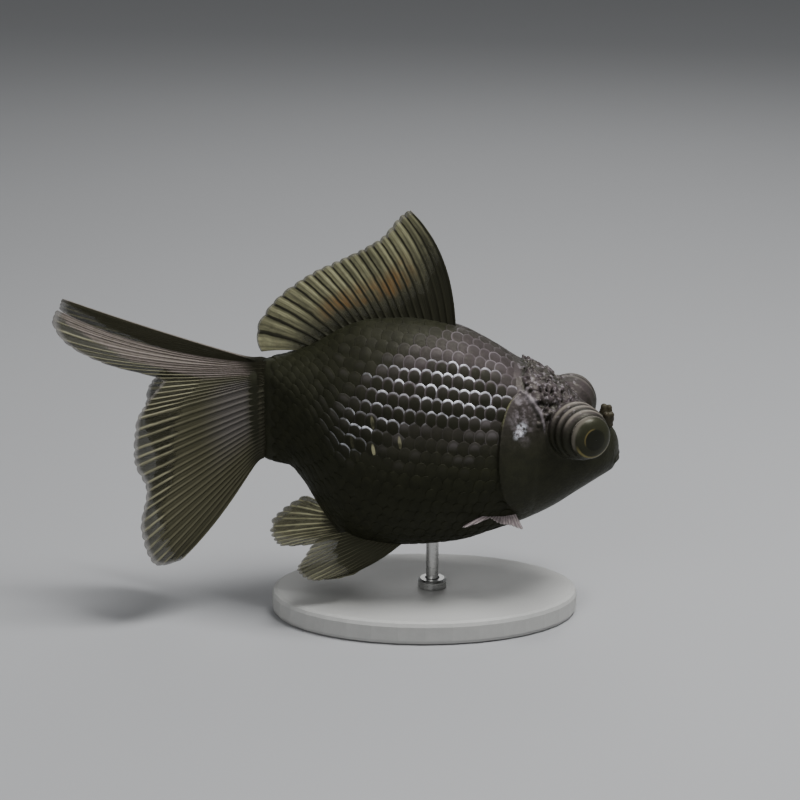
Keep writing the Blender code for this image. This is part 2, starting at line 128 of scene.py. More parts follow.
# A fin is a fan of rays. Its root runs over the body between two places (share of the body length,
# degrees round the section), sunk under the surface. Each ray: its place on the root, heading in
# side view, curl, spread from the middle plane, sweep, and length. Its opaque base: the place on the
# root, the share of the ray where it ends, and how far back from there the rays show in it.
Fan = namedtuple("Fan", "start end sink rays base")
DORSAL = Fan(
    start=(0.458, 90),
    end=(0.862, 90),
    sink=0.0018,
    rays=np.array([
        (0.00, 93, 44, 0, 2, 0.375), (0.08, 98, 33, 1, 2, 0.343), (0.25, 106, 22, 1, 2, 0.266),
        (0.45, 116, 14, 2, 1, 0.223), (0.65, 128, 10, 1, 0, 0.204), (0.82, 142, 8, 0, -2, 0.196),
        (0.94, 157, 8, 0, -3, 0.180), (1.00, 176, 12, 0, -3, 0.138),
    ]),
    base=np.array([
        (0.00, 0.68, 0.02), (0.06, 0.60, 0.02), (0.15, 0.47, 0.02), (0.30, 0.37, 0.02),
        (0.50, 0.31, 0.02), (1.00, 0.25, 0.02),
    ]),
)
TAIL = Fan(
    start=(1.006, 62),
    end=(1.006, -70),
    sink=0.0007,
    rays=np.array([
        (0.00, 168, -12, 17, -32, 0.580), (0.06, 169.7, -10, 17, -30, 0.583),
        (0.12, 173, -8, 18, -25, 0.540), (0.20, 175.5, -5, 18, -14, 0.428),
        (0.30, 180, -2, 18, -6, 0.268), (0.38, 186, -2, 18, -1, 0.305),
        (0.50, 194, -2, 18, 1, 0.360), (0.60, 200, -2, 18, 2, 0.374), (0.68, 207, -2, 18, 2, 0.360),
        (0.80, 216, -3, 18, 1, 0.414), (0.91, 226, -5, 17, -1, 0.432),
        (1.00, 238, -16, 15, -5, 0.372),
    ]),
    base=np.array([
        (0.00, 0.95, 0.02), (0.05, 0.88, 0.03), (0.10, 0.76, 0.03), (0.16, 0.66, 0.04),
        (0.24, 0.58, 0.05), (0.32, 0.61, 0.06), (0.50, 0.64, 0.10), (0.62, 0.72, 0.25),
        (0.76, 0.80, 0.42), (0.90, 0.86, 0.45), (1.00, 0.93, 0.30),
    ]),
)
PELVIC = Fan(
    start=(0.588, -73),
    end=(0.735, -60),
    sink=0.0018,
    rays=np.array([
        (0.00, 217, -34, 22, 2, 0.236), (0.20, 213, -22, 22, 2, 0.248),
        (0.40, 205, -8, 22, 2, 0.262), (0.60, 198, -2, 22, 2, 0.252), (0.80, 193, 0, 22, 1, 0.190),
        (1.00, 184, 0, 20, 0, 0.112),
    ]),
    base=np.array([
        (0.00, 0.84, 0.40), (0.40, 0.60, 0.45), (1.00, 0.45, 0.35),
    ]),
)
ANAL = Fan(
    start=(0.742, -82),
    end=(0.820, -80),
    sink=0.0018,
    rays=np.array([
        (0.00, 196, 0, 3, 2, 0.135), (0.30, 191, 0, 4, 3, 0.198), (0.55, 185, 0, 4, 3, 0.196),
        (0.75, 176, 0, 4, 3, 0.146), (0.90, 167, 0, 3, 3, 0.100), (1.00, 157, -4, 3, 2, 0.066),
    ]),
    base=np.array([
        (0.00, 0.30, 0.20), (1.00, 0.16, 0.15),
    ]),
)
PECTORAL = Fan(
    start=(0.301, -42),
    end=(0.353, -39),
    sink=0.0018,
    rays=np.array([
        (0.00, 303, 0, 40, 4, 0.070), (0.25, 281, 0, 40, 4, 0.052), (0.50, 255, 0, 40, 4, 0.043),
        (0.75, 212, 0, 40, 4, 0.040), (1.00, 188, 12, 40, 2, 0.125),
    ]),
    base=np.array([
        (0.00, 0.02, 0.02), (1.00, 0.02, 0.02),
    ]),
)


# -------------------- Shapes --------------------


def smooth_curve(places, values, at):
    """Monotone cubic interpolation: it never overshoots its key values."""
    x, y, at = (np.asarray(v, float) for v in (places, values, at))
    step = np.diff(x)
    slope = np.diff(y) / step
    tangent = np.zeros_like(y)
    tangent[0], tangent[-1] = slope[0], slope[-1]
    for i in range(1, len(x) - 1):
        if slope[i - 1] * slope[i] > 0:
            tangent[i] = 2 / (1 / slope[i - 1] + 1 / slope[i])
    i = np.clip(np.searchsorted(x, at) - 1, 0, len(step) - 1)
    t = np.clip((at - x[i]) / step[i], 0, 1)
    return (
        (1 + 2 * t) * (1 - t) ** 2 * y[i]
        + t * (1 - t) ** 2 * step[i] * tangent[i]
        + t * t * (3 - 2 * t) * y[i + 1]
        + t * t * (t - 1) * step[i] * tangent[i + 1]
    )


def ease(low, high, value):
    """0 at low, 1 at high and smooth between; low may be the greater of the two."""
    t = np.clip((np.asarray(value, float) - low) / (high - low), 0, 1)
    return t * t * (3 - 2 * t)


def window(value, low, full, still, high):
    """0 outside low and high, 1 between full and still, and smooth between."""
    return ease(low, full, value) * ease(high, still, value)


def from_region(back, degrees, region):
    """How far a place is from the middle of an oval region of the body: 1 on its outline."""
    at_back, at_degrees, half_along, half_around = region
    return np.hypot((back - at_back) / half_along, (degrees - at_degrees) / half_around)


def section(back):
    """Back, belly, half width, widest height (metres) and squareness at a share of the length."""
    top, bottom, half_width, widest, squareness = (
        smooth_curve(STATIONS[:, 0], STATIONS[:, k], back) for k in range(1, 6)
    )
    near = np.clip(1 - np.asarray(back, float) / SNOUT_ROUNDING, 0, 1)
    rounding = np.sqrt(np.clip(1 - near**2, 0, 1))
    middle = (top + bottom) / 2
    top = middle + (top - middle) * rounding
    bottom = middle + (bottom - middle) * rounding
    widest = bottom + widest * (top - bottom)
    sizes = (top, bottom, half_width * rounding, widest)
    return (*(size * LENGTH for size in sizes), squareness)


def body_point(back, degrees, lift=0.0):
    """A point on the body's left side, or lift outside it: 0 degrees is the side, 90 the back."""
    back, angle = np.asarray(back, float), np.radians(np.asarray(degrees, float))
    top, bottom, half_width, widest, squareness = section(back)
    rise = np.where(np.sin(angle) > 0, top - widest, widest - bottom)
    across, up = (np.sign(v) * np.abs(v) ** (2 / squareness) for v in (np.cos(angle), np.sin(angle)))
    x = np.broadcast_to(SNOUT_X - back * LENGTH, np.shape(across))
    out_y, out_z = (
        np.sign(v) * np.abs(v) ** (squareness - 1) / np.maximum(size, 1e-6)
        for v, size in ((across, half_width), (up, rise))
    )
    norm = np.maximum(np.hypot(out_y, out_z), 1e-9)
    y = half_width * across + lift * out_y / norm
    z = SNOUT_Z + widest + rise * up + lift * out_z / norm
    return np.stack([x, y, z], axis=-1)


def body_place(points):
    """The share of the body length and the degrees round the section of points near the body."""
    back = np.clip((SNOUT_X - points[:, 0]) / LENGTH, 0.0005, 1)
    top, bottom, half_width, widest, squareness = section(back)
    height = points[:, 2] - SNOUT_Z - widest
    rise = np.where(height > 0, top - widest, widest - bottom)
    up = np.sign(height) * np.abs(height / rise) ** (squareness / 2)
    across = np.abs(points[:, 1] / half_width) ** (squareness / 2)
    return back, np.degrees(np.arctan2(up, across))


def sheen_and_highlight_band(back, degrees):
    """Painted light at a place: the plum-grey painted sheen, and the painted highlight on its scale
    crests.
    """
    back, degrees = np.asarray(back, float), np.asarray(degrees, float)
    # the dark saddle falls from the front of the dorsal fin to the rump
    saddle = ease(-16, 10, degrees - 75 + 165 * (back - 0.47)) * ease(0.44, 0.49, back)
    # painted sheen: plum-grey over the upper body, where the light from above falls
    plum = ease(-4, 46, degrees) * window(back, 0.03, 0.11, 0.64, 0.88)
    plum = plum * (1 - 0.93 * saddle) * (1 - 0.5 * ease(70, 88, degrees))
    # painted highlight: the band of bright scale crests on the upper flank
    low, high = (np.interp(back, backs, edge) for backs, edge in BAND_EDGES)
    band = window(degrees, low - 12, low, high, high + 9) * ease(0.86, 0.66, back)
    return plum, band * (1 - saddle)


def give(mesh, **values):
    """Stores a number for each point of a mesh, for its material to read."""
    for name, numbers in values.items():
        layer = mesh.attributes.new(name, "FLOAT", "POINT")
        layer.data.foreach_set("value", np.asarray(numbers, np.float32).ravel())


def grid_faces(rows, columns, closed=False, first=0):
    """The faces between rows of points; closed joins the last column to the first."""
    across = columns if closed else columns - 1
    r, c = np.meshgrid(np.arange(rows - 1), np.arange(across), indexing="ij")
    a, b = r * columns + c, r * columns + (c + 1) % columns
    corners = np.stack([a, b, b + columns, a + columns], axis=-1) + first
    return [tuple(face) for face in corners.reshape(-1, 4)]


def slab(front, behind):
    """Points and faces of a closed sheet, from its two faces (rows x columns of points)."""
    rows, columns = front.shape[:2]
    n = rows * columns
    faces = grid_faces(rows, columns)
    faces += [face[::-1] for face in grid_faces(rows, columns, first=n)]
    rim = [*range(columns)] + [r * columns + columns - 1 for r in range(1, rows)]
    rim += [(rows - 1) * columns + c for c in range(columns - 2, -1, -1)]
    rim += [r * columns for r in range(rows - 2, 0, -1)]
    faces += [(a, b, b + n, a + n) for a, b in zip(rim[1:] + rim[:1], rim)]
    return np.concatenate([front.reshape(-1, 3), behind.reshape(-1, 3)]), faces


def normals_of(sheet):
    """The way that each point of a sheet (rows x columns of points) faces."""
    normal = np.cross(np.gradient(sheet, axis=0), np.gradient(sheet, axis=1))
    return normal / np.maximum(np.linalg.norm(normal, axis=-1, keepdims=True), 1e-12)


def tube(rings):
    """Points and faces of a closed tube, from its rings of points."""
    n, last = len(rings[0]), len(rings) - 1
    faces = grid_faces(len(rings), n, closed=True)
    faces.append(tuple(range(n)))
    faces.append(tuple(range(last * n, (last + 1) * n))[::-1])
    return np.concatenate(rings), faces


def mesh_of(name, points, faces):
    """A smooth-shaded mesh."""
    mesh = bpy.data.meshes.new(name)
    mesh.from_pydata(np.asarray(points, float).tolist(), [], [tuple(face) for face in faces])
    mesh.validate()
    mesh.update()
    mesh.shade_smooth()
    return mesh


def in_scene(name, data, material=None):
    """A new object in the scene, with one material where it is given."""
    made = bpy.data.objects.new(name, data)
    bpy.context.scene.collection.objects.link(made)
    if material:
        data.materials.clear()
        data.materials.append(material)
    return made


def put(name, mesh, material, slot, *stands_for, place=Matrix.Identity(4)):
    """A finished piece of the fish, in place of the solids that it stands for."""
    piece = in_scene(name, mesh, material)
    piece.matrix_world = place
    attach(piece, "root")
    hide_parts(*stands_for)
    return piece


class Heap:
    """Collects closed shapes into one list of points and faces."""

    def __init__(self):
        self.points, self.faces, self.count = [], [], 0

    def add(self, points, faces):
        """Adds one shape; its faces count from its own first point."""
        self.points.append(points)
        self.faces += [[int(i) + self.count for i in face] for face in faces]
        self.count += len(points)

    def mesh(self, name):
        """One mesh of all the shapes."""
        return mesh_of(name, np.concatenate(self.points), self.faces)


# -------------------- Skin --------------------


def body_shell(coat):
    """The whole body as one closed shell, sunk by the coat's depth where scales cover it."""
    snout = 0.0008 + 0.05 * np.linspace(0, 1, 24) ** 2
    backs = np.concatenate([snout, np.linspace(0.0575, 0.992, 150)])
    back, degrees = np.meshgrid(backs, np.arange(0, 360, 3.0), indexing="ij")
    end_rounding = 0.0006 * ease(0.975, 1.0, back) ** 2
    return tube(body_point(back, degrees, -coat * ease(*COAT_START, back) - end_rounding))


def stalk_frame(side):
    """The matrix from an eye stalk's own space, with +Z out along its axis, to the scene."""
    back, out, up = STALK_PLACE
    place = Vector((SNOUT_X - back * LENGTH, side * out * LENGTH, SNOUT_Z + up * LENGTH))
    ahead, outward, upward = STALK_AXES[side]
    axis = Vector((ahead, side * outward, upward))
    return Matrix.Translation(place) @ axis.to_track_quat("Z", "Y").to_matrix().to_4x4()


def turned(profile, sides, place):
    """Points and faces of a closed solid of revolution; profile is (height, radius) top to bottom."""
    angle = np.arange(sides) * 2 * np.pi / sides
    ring = np.stack([np.cos(angle), np.sin(angle)], axis=-1)
    rings = [np.concatenate([ring * r, np.full((sides, 1), z)], axis=1) for z, r in profile]
    points, faces = tube(rings)
    matrix = np.array(place)
    return points @ matrix[:3, :3].T + matrix[:3, 3], faces


def stalk_profile(sizes, side):
    """Rolls and grooves round the eye, from the eye's seat in to the root; the left ones are faint."""
    share = np.linspace(1, STALK_OUTLINE[0, 0], 90)
    radius = np.interp(share, STALK_OUTLINE[:, 0], STALK_OUTLINE[:, 1]) / 1000
    radius = np.convolve(np.pad(radius, 1, mode="edge"), (0.25, 0.5, 0.25), mode="valid")
    if side > 0:
        plain = np.interp(share, PLAIN_STALK[:, 0], PLAIN_STALK[:, 1]) / 1000
        radius = plain + LEFT_ROLLS * (radius - plain)
    length, cornea = sizes.stalk_length, sizes.cornea_radius
    seat = [(length - 0.0012, cornea * 0.90), (length + 0.0001, cornea * 0.97)]
    root = (-0.0040, 0.0046)
    return [*seat, *zip(length * share, radius), root]


def gill_back(p, q):
    """Where a place on the gill cover lies along the body: p is 1 at its rear, q is 1 at its top."""
    return GILL.back - GILL.bow * q**2 + GILL.half_along * p * (1 + GILL.lean * q)


def gill_rear(q):
    """Where the gill cover's rear edge lies along the body."""
    return gill_back(np.sqrt(np.clip(1 - q * q, 0, 1)), q)


def gill_plate(side, sizes):
    """The gill cover: flush with the cheek in front and below, proud along its upper rear edge."""
    P, Q = np.meshgrid(*[np.linspace(-1, 1, GILL_POINTS)] * 2, indexing="ij")
    # the square of points is pulled into a disc
    p, q = P * np.sqrt(1 - Q * Q / 2), Q * np.sqrt(1 - P * P / 2)
    back, degrees = gill_back(p, q), GILL.degrees + GILL.half_around * q
    upper = 0.25 + 0.75 * ease(-0.7, 0.4, q)
    proud = 0.00025 + sizes.gill_height * ease(-0.9, 0.55, p) * upper
    proud = proud - 0.0002 * ease(0.75, 1.0, np.hypot(p, q))
    points, faces = slab(body_point(back, degrees, proud), body_point(back, degrees, -0.0012))
    return points * (1, side, 1), faces


def ball(centre, radii, turn=None, detail=10):
    """A closed ball or bean, for the lobes and papillae of the head."""
    profile = [(math.cos(a), max(math.sin(a), 0.02)) for a in np.linspace(0, math.pi, detail)]
    place = Matrix.Translation(Vector(centre)) @ (turn or Matrix.Identity(4))
    return turned(profile, detail, place @ Matrix.Diagonal((*radii, 1)))


# Lobes of the crown: share of body length, degrees round the section, half sizes along, around
# and outwards (mm)
LOBES = np.array([
    (0.262, 64, 2.6, 2.3, 1.25), (0.240, 76, 1.9, 1.7, 0.90), (0.230, 61, 2.2, 1.6, 1.60),
    (0.240, 47, 1.8, 1.6, 1.50), (0.212, 48, 1.5, 1.7, 1.50), (0.203, 66, 2.0, 1.7, 1.30),
    (0.184, 56, 1.5, 1.5, 1.30), (0.178, 74, 1.7, 1.5, 0.80), (0.210, 85, 1.8, 1.4, 0.60),
    (0.242, 88, 1.7, 1.4, 0.55), (0.158, 84, 1.4, 1.3, 0.50), (0.208, 35, 1.5, 1.4, 1.20),
    (0.156, 66, 1.4, 1.1, 0.90), (0.258, 54, 2.2, 1.3, 1.10),
])

# On the crown, this many degrees round the section are a millimetre
CROWN_DEGREES = 6.5
CROWN_SEED = 11
PAPILLA_TRIES = 9000
PAPILLA_RADII = (0.00030, 0.00062)

# Oval regions of the head: middle (share of the body length, degrees) and half sizes in the same
ROUGH_PATCH = (0.235, 25, 0.016, 7)
# The cheek and the bright spot below carry painted highlights
CHEEK = (0.283, 30, 0.040, 20)
BRIGHT_SPOT = (0.286, 19.5, 0.024, 6.0)
SPOT_SLANT = 110


def lobe_lift(back, degrees):
    """How high the crown's lobes stand over the head at a place, in metres."""
    b, d, along, around, out = (LOBES[:, k] for k in range(5))
    ahead = (back[:, None] - b) * LENGTH * 1000 / along
    beside = (degrees[:, None] - d) / (CROWN_DEGREES * around)
    return (out * np.sqrt(np.clip(1 - ahead**2 - beside**2, 0, 1))).max(axis=1) / 1000


def add_papillae(heap, side, rng, most):
    """Small papillae: crowded on the ridge of the back and between the lobes, thin on the lobes."""
    backs, degrees = rng.uniform(0.118, 0.285, PAPILLA_TRIES), rng.uniform(18, 92, PAPILLA_TRIES)
    radii = rng.uniform(*PAPILLA_RADII, PAPILLA_TRIES)
    chance = rng.random(PAPILLA_TRIES)
    lift = lobe_lift(backs, degrees)
    wanted = 0.10 + 0.90 * ease(70, 84, degrees) + 0.60 * (lift < 0.0005)
    # the crown ends over the eye stalk and at the nape
    wanted *= ease(20, 34, degrees - 220 * np.clip(0.20 - backs, 0, 1))
    wanted *= ease(0.285, 0.268, backs + 0.0003 * (degrees - 50))
    # a rough patch stands behind the eye stalk, under the crown
    wanted += 0.8 * (from_region(backs, degrees, ROUGH_PATCH) < 1)
    centres = body_point(backs, degrees, lift + 0.2 * radii) * (1, side, 1)
    kept = np.empty((0, 3))
    for k in np.flatnonzero(chance < wanted):
        if len(kept) >= most:
            break
        if len(kept) and np.min(np.linalg.norm(kept - centres[k], axis=1)) < 2.1 * radii[k]:
            continue
        kept = np.vstack([kept, centres[k]])
        heap.add(*ball(centres[k], (radii[k], radii[k], radii[k]), None, 8))


def add_crown(heap, sizes):
    """Round lobes over the top of the head, with small papillae on them and between them."""
    rng = np.random.default_rng(CROWN_SEED)
    for side in (1, -1):
        for back, degrees, along, around, out in LOBES:
            back += rng.uniform(-0.003, 0.003)
            foot = body_point(back, degrees) * (1, side, 1)
            tip = body_point(back, degrees, 0.001) * (1, side, 1)
            turn = Vector(tip - foot).to_track_quat("Z", "X").to_matrix().to_4x4()
            heap.add(*ball(foot, (around / 1000, along / 1000, out / 1000), turn, 20))
        add_papillae(heap, side, rng, sizes.papillae)


# The fold of the cheek: it falls from the top of the gill cover to the back of the eye stalk
FOLD = np.array([(0.219, 22), (0.226, 30), (0.233, 35), (0.246, 40), (0.262, 44), (0.284, 48)])


def add_fold(heap):
    """A smooth thin fold along the front of the gill cover."""
    knots = np.linspace(0, 1, len(FOLD))
    for side in (1, -1):
        for share in np.linspace(0, 1, 40):
            back, degrees = (np.interp(share, knots, FOLD[:, k]) for k in (0, 1))
            radius = 0.00030 + 0.00030 * math.sin(math.pi * share) ** 0.6
            centre = body_point(back, degrees, 0.00035 + 0.00035 * share) * (1, side, 1)
            heap.add(*ball(centre, (radius, radius, radius)))


def add_mouth(heap):
    """Two thin lips round the front of the muzzle, which meet at the mouth."""
    backs = np.linspace(0, 0.08, 60)
    widths = section(backs)[2]
    angle = np.arange(12) * 2 * np.pi / 12
    for rise, radius in ((1, 0.00075), (-1, 0.0007)):
        rings = []
        for share in np.linspace(-1, 1, 25):
            y = 0.0036 * share
            full = radius * (1 - 0.45 * abs(share) ** 1.5)
            x = SNOUT_X + 0.0001 - LENGTH * np.interp(abs(y), widths, backs) - full * 0.8
            z = SNOUT_Z - 0.0020 - 0.0006 * share**2 + rise * (full - 0.00005)
            heading = -share * 1.1
            out = full * np.cos(angle)
            ring = [x + out * math.cos(heading), y - out * math.sin(heading), z + full * np.sin(angle)]
            rings.append(np.stack(ring, axis=-1))
        points, faces = tube(rings)
        heap.add(points, [face[::-1] for face in faces])


# The leaves of a nostril's flap: place ahead and up, half width and half height, as shares of the
# flap's own half sizes
LEAVES = (
    (0, -0.1, 0.92, 0.85),
    (-0.35, 0.45, 0.45, 0.45),
    (0.4, 0.42, 0.42, 0.42),
    (0, -0.8, 0.9, 0.5),
)


def add_nostrils(heap):
    """A lobed leaf of skin stands behind each nostril."""
    for side, word in SIDES:
        low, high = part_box(f"nostril_flap_{word}")
        centre, half = (low + high) / 2, (high - low) / 2
        turn = Matrix.Rotation(math.radians(-20 * side), 4, "Z")
        turn = turn @ Matrix.Rotation(math.radians(-12 * side), 4, "X")
        for ahead, up, wide, tall in LEAVES:
            offset = turn @ Vector((ahead * half.x, 0, up * half.z))
            heap.add(*ball(centre + offset, (half.x * wide, 0.00085, half.z * tall), turn, 20))


def add_sheath(heap):
    """The flesh of the tail's stem runs out over the roots of the tail's rays and thins away."""
    rays = TAIL.rays.copy()
    rays[:, 5] = 0.0034 / LENGTH
    u = np.linspace(0, 1, 90)
    sheet, share = fan_surface(TAIL._replace(rays=rays), u, 24, 0.0035)
    ends = np.sin(np.pi * np.clip(u, 0.03, 0.97))[:, None] ** 0.4
    half = 0.00015 + 0.0011 * (1 - ease(-0.1, 1.0, share)) * ends
    out = normals_of(sheet) * half[..., None]
    points, faces = slab(sheet + out, sheet - out)
    heap.add(points, [face[::-1] for face in faces])
    heap.add(points * (1, -1, 1), faces)


def worked(obj):
    """The mesh that an object's modifiers make; the object is then removed."""
    graph = bpy.context.evaluated_depsgraph_get()
    graph.update()
    mesh = bpy.data.meshes.new_from_object(obj.evaluated_get(graph))
    bpy.data.objects.remove(obj)
    return mesh


def mesh_points(mesh):
    """A mesh's points as rows of x, y, z."""
    co = np.empty(len(mesh.vertices) * 3)
    mesh.vertices.foreach_get("co", co)
    return co.reshape(-1, 3)


def relax(mesh, rounds, strength=0.5):
    """Evens out the stair steps that remeshing leaves, with little loss of size."""
    co = mesh_points(mesh)
    edges = np.empty(len(mesh.edges) * 2, int)
    mesh.edges.foreach_get("vertices", edges)
    a, b = edges.reshape(-1, 2).T
    count = np.bincount(a, minlength=len(co)) + np.bincount(b, minlength=len(co))
    for k in range(rounds):
        total = np.zeros_like(co)
        for axis in range(3):
            total[:, axis] = np.bincount(a, co[b, axis], len(co))
            total[:, axis] += np.bincount(b, co[a, axis], len(co))
        amount = strength if k % 2 == 0 else -strength * 0.9
        co += amount * (total / count[:, None] - co)
    mesh.vertices.foreach_set("co", co.ravel())
    mesh.update()


def skin_mesh(sizes):
    """The body, stalks, gill covers, crown, lips, nostrils and the tail's root as one skin."""
    heap = Heap()
    heap.add(*body_shell(sizes.coat_depth))
    for side in (1, -1):
        heap.add(*turned(stalk_profile(sizes, side), 96, stalk_frame(side)))
        heap.add(*gill_plate(side, sizes))
    add_crown(heap, sizes)
    add_fold(heap)
    add_mouth(heap)
    add_nostrils(heap)
    add_sheath(heap)
    whole = in_scene("skin_parts", heap.mesh("skin_parts"))
    weld = whole.modifiers.new("weld", "REMESH")
    weld.mode = "VOXEL"
    weld.voxel_size = sizes.skin_grain
    weld.use_smooth_shade = True
    mesh = worked(whole)
    relax(mesh, RELAX_ROUNDS)
    mark_skin(mesh, sizes)
    return mesh


def stalk_marks(points, sizes):
    """Where the crests and the grooves of the eye stalks lie; those on the left are faint."""
    crest, groove = np.zeros(len(points)), np.zeros(len(points))
    for side, _ in SIDES:
        matrix = np.array(stalk_frame(side).inverted())
        local = points @ matrix[:3, :3].T + matrix[:3, 3]
        share = local[:, 2] / sizes.stalk_length
        on = ease(0.0044, 0.0050, np.hypot(local[:, 0], local[:, 1])) * (points[:, 1] * side > 0)
        on = on * ease(-0.12, 0.0, share) * (0.4 if side > 0 else 1.0)
        for at in STALK_CRESTS:
            crest = np.maximum(crest, on * ease(0.11, 0.02, np.abs(share - at)))
        for at in STALK_GROOVES:
            groove = np.maximum(groove, on * ease(0.09, 0.02, np.abs(share - at)))
    return crest, groove


def flap_mark(points, back):
    """Where the nostrils' flaps stand out of the head."""
    mark = np.zeros(len(points))
    over = points[:, 2] - SNOUT_Z - section(back)[0]
    for _, word in SIDES:
        low, high = (np.array(corner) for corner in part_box(f"nostril_flap_{word}"))
        inside = np.all((points > low - 0.0004) & (points < high + 0.0004), axis=1)
        mark = np.maximum(mark, inside * ease(0.0, 0.0009, over))
    return mark


def mark_skin(mesh, sizes):
    """Gives the skin's points their marks for painted sheen, highlights and shade, and what is special
    to the head.
    """
    points = mesh_points(mesh)
    back, degrees = body_place(points)
    plum, band = sheen_and_highlight_band(back, degrees)
    crest, groove = stalk_marks(points, sizes)
    # the cheek between the fold and the gill cover's rear edge, and the bright spot low on it: painted
    # highlights
    cheek = ease(1.25, 0.1, from_region(back, degrees, CHEEK))
    slanted = degrees + SPOT_SLANT * (back - BRIGHT_SPOT[0])
    spot = ease(1.0, 0.2, from_region(back, slanted, BRIGHT_SPOT))
    # painted highlight along the fold's ridge
    fold = ease(5.5, 1.0, np.abs(degrees - np.interp(back, *FOLD.T)))
    fold = fold * window(back, 0.214, 0.222, 0.282, 0.292)
    # painted highlight along the gill cover's upper rear edge
    q = (degrees - GILL.degrees) / GILL.half_around
    line = ease(0.0055, 0.0025, np.abs(back - gill_rear(q) + 0.0010))
    line = line * window(q, 0.34, 0.52, 0.80, 0.94)
    # how far each point stands out of the plain head
    plain_head = body_point(back, degrees)
    outward = body_point(back, degrees, 0.001) - plain_head
    folded = np.stack([points[:, 0], np.abs(points[:, 1]), points[:, 2]], axis=-1)
    raised = np.sum((folded - plain_head) * outward, axis=-1) / 0.001
    crown = window(back, 0.105, 0.130, 0.280, 0.300) * ease(22, 34, degrees)
    # painted shade: the clefts between the crown's lobes
    cleft = window(back, 0.150, 0.170, 0.272, 0.288) * ease(24, 32, degrees)
    cleft = cleft * ease(0.0007, 0.0002, raised)
    give(
        mesh,
        plum=np.maximum(plum, 0.75 * cheek),
        band=band,
        crest=crest,
        groove=groove,
        gill_line=line,
        flap=flap_mark(points, back),
        crown=crown * (1 - cheek),
        cleft=cleft * (1 - cheek),
        cheek=cheek,
        spot=spot,
        fold=fold,
    )


# -------------------- Scales --------------------

# A scale's plate: sectors round it, rings as shares of its size, the squareness of its outline, and
# the share that its flat underside reaches. In the template, UNDERSIDE marks points of the underside.
SCALE_SECTORS = 18
SCALE_RINGS = (0.35, 0.56, 0.72, 0.84, 0.93, 1.0)
SCALE_SQUARENESS = 2.1
SCALE_FOOT = 0.9
UNDERSIDE = 2.0
# Half a scale along its row, as a share of the distance between scales, and half of it around, in rows
HALF_ALONG, HALF_AROUND = 0.64, 0.70
# How many rows the scales of one row climb along the whole body, from the head to the tail
ROW_SLOPE = 3.6
# Where the first and the last scales lie (share of the body length)
FIRST_SCALE, LAST_SCALE = 0.262, 0.962
SCALE_SEEDS = {1: 5, -1: 6}


class Flank:
    """Rows of scales run along the body: maps a share of the length and a row to degrees."""

    def __init__(self, row_height):
        self.backs = np.linspace(0.20, 1.0, 161)
        degrees = np.linspace(-90, 90, 181)
        points = body_point(*np.meshgrid(self.backs, degrees, indexing="ij"))
        run = np.linalg.norm(np.diff(points, axis=1), axis=-1)
        travel = np.concatenate([np.zeros((len(run), 1)), np.cumsum(run, axis=1)], axis=1)
        middle, girth = travel[:, 90], travel[:, -1]
        pitch = row_height * (girth / girth.max()) ** 0.45
        self.rows = np.linspace(-16, 16, 321)
        table = [np.interp(self.rows * p, t - m, degrees) for p, t, m in zip(pitch, travel, middle)]
        self.table = np.array(table)
        self.top, self.bottom = (girth - middle) / pitch, -middle / pitch

    def degrees(self, back, row):
        """The degrees of a row, kept to the middle of the back and of the belly."""
        i = (back - self.backs[0]) / (self.backs[1] - self.backs[0])
        j = (row - self.rows[0]) / (self.rows[1] - self.rows[0])
        i, j = np.clip(i, 0, len(self.backs) - 1.001), np.clip(j, 0, len(self.rows) - 1.001)
        i0, j0 = i.astype(int), j.astype(int)
        s, t = i - i0, j - j0
        low, high = (self.table[k, j0] * (1 - t) + self.table[k, j0 + 1] * t for k in (i0, i0 + 1))
        return low * (1 - s) + high * s


def scale_template():
    """A plate: points as (share along, share around, share of the way to its rim), and faces."""
    n = SCALE_SECTORS
    angle = np.arange(n) * 2 * np.pi / n
    c, s = np.cos(angle), np.sin(angle)
    outline = 1 / (abs(c) ** SCALE_SQUARENESS + abs(s) ** SCALE_SQUARENESS) ** (1 / SCALE_SQUARENESS)
    points = [[(0, 0, 0)]]
    for r, mark in (*zip(SCALE_RINGS, SCALE_RINGS), (SCALE_FOOT, UNDERSIDE)):
        points.append(np.stack([r * c * outline, r * s * outline, np.full(n, mark)], axis=-1))
    points = np.concatenate([*points, [(0, 0, UNDERSIDE)]])
    pairs = [(k, (k + 1) % n) for k in range(n)]
    faces = [(0, 1 + k, 1 + m) for k, m in pairs]
    for r in range(len(SCALE_RINGS)):
        low, high = 1 + r * n, 1 + (r + 1) * n
        faces += [(low + k, high + k, high + m, low + m) for k, m in pairs]
    last = len(points) - 1
    faces += [(last, last - n + m, last - n + k) for k, m in pairs]
    return points, faces


def scale_places(flank, sizes):
    """Where each scale's middle lies: share of the length, row, and its size as a share."""
    places = []
    for row in range(-17, 18):
        back = FIRST_SCALE + (0.5 if row % 2 else 0.0) * sizes.scale_along / LENGTH
        while back < LAST_SCALE:
            shrink = 1 - 0.28 * float(ease(0.72, 1.0, back))
            low, high = (np.interp(back, flank.backs, end) for end in (flank.bottom, flank.top))
            sloped = row + ROW_SLOPE * (back - 0.5)
            if low - 0.45 < sloped < high + 0.60:
                places.append((back, sloped, shrink))
            back += sizes.scale_along * shrink / LENGTH
    return np.array(places)


def under_gill(back, row, flank):
    """True where the gill cover or the head lies over the scale's place."""
    q = (flank.degrees(back, row) - GILL.degrees) / GILL.half_around
    return back < np.where(np.abs(q) < 1, gill_rear(q) - 0.004, 0.272)


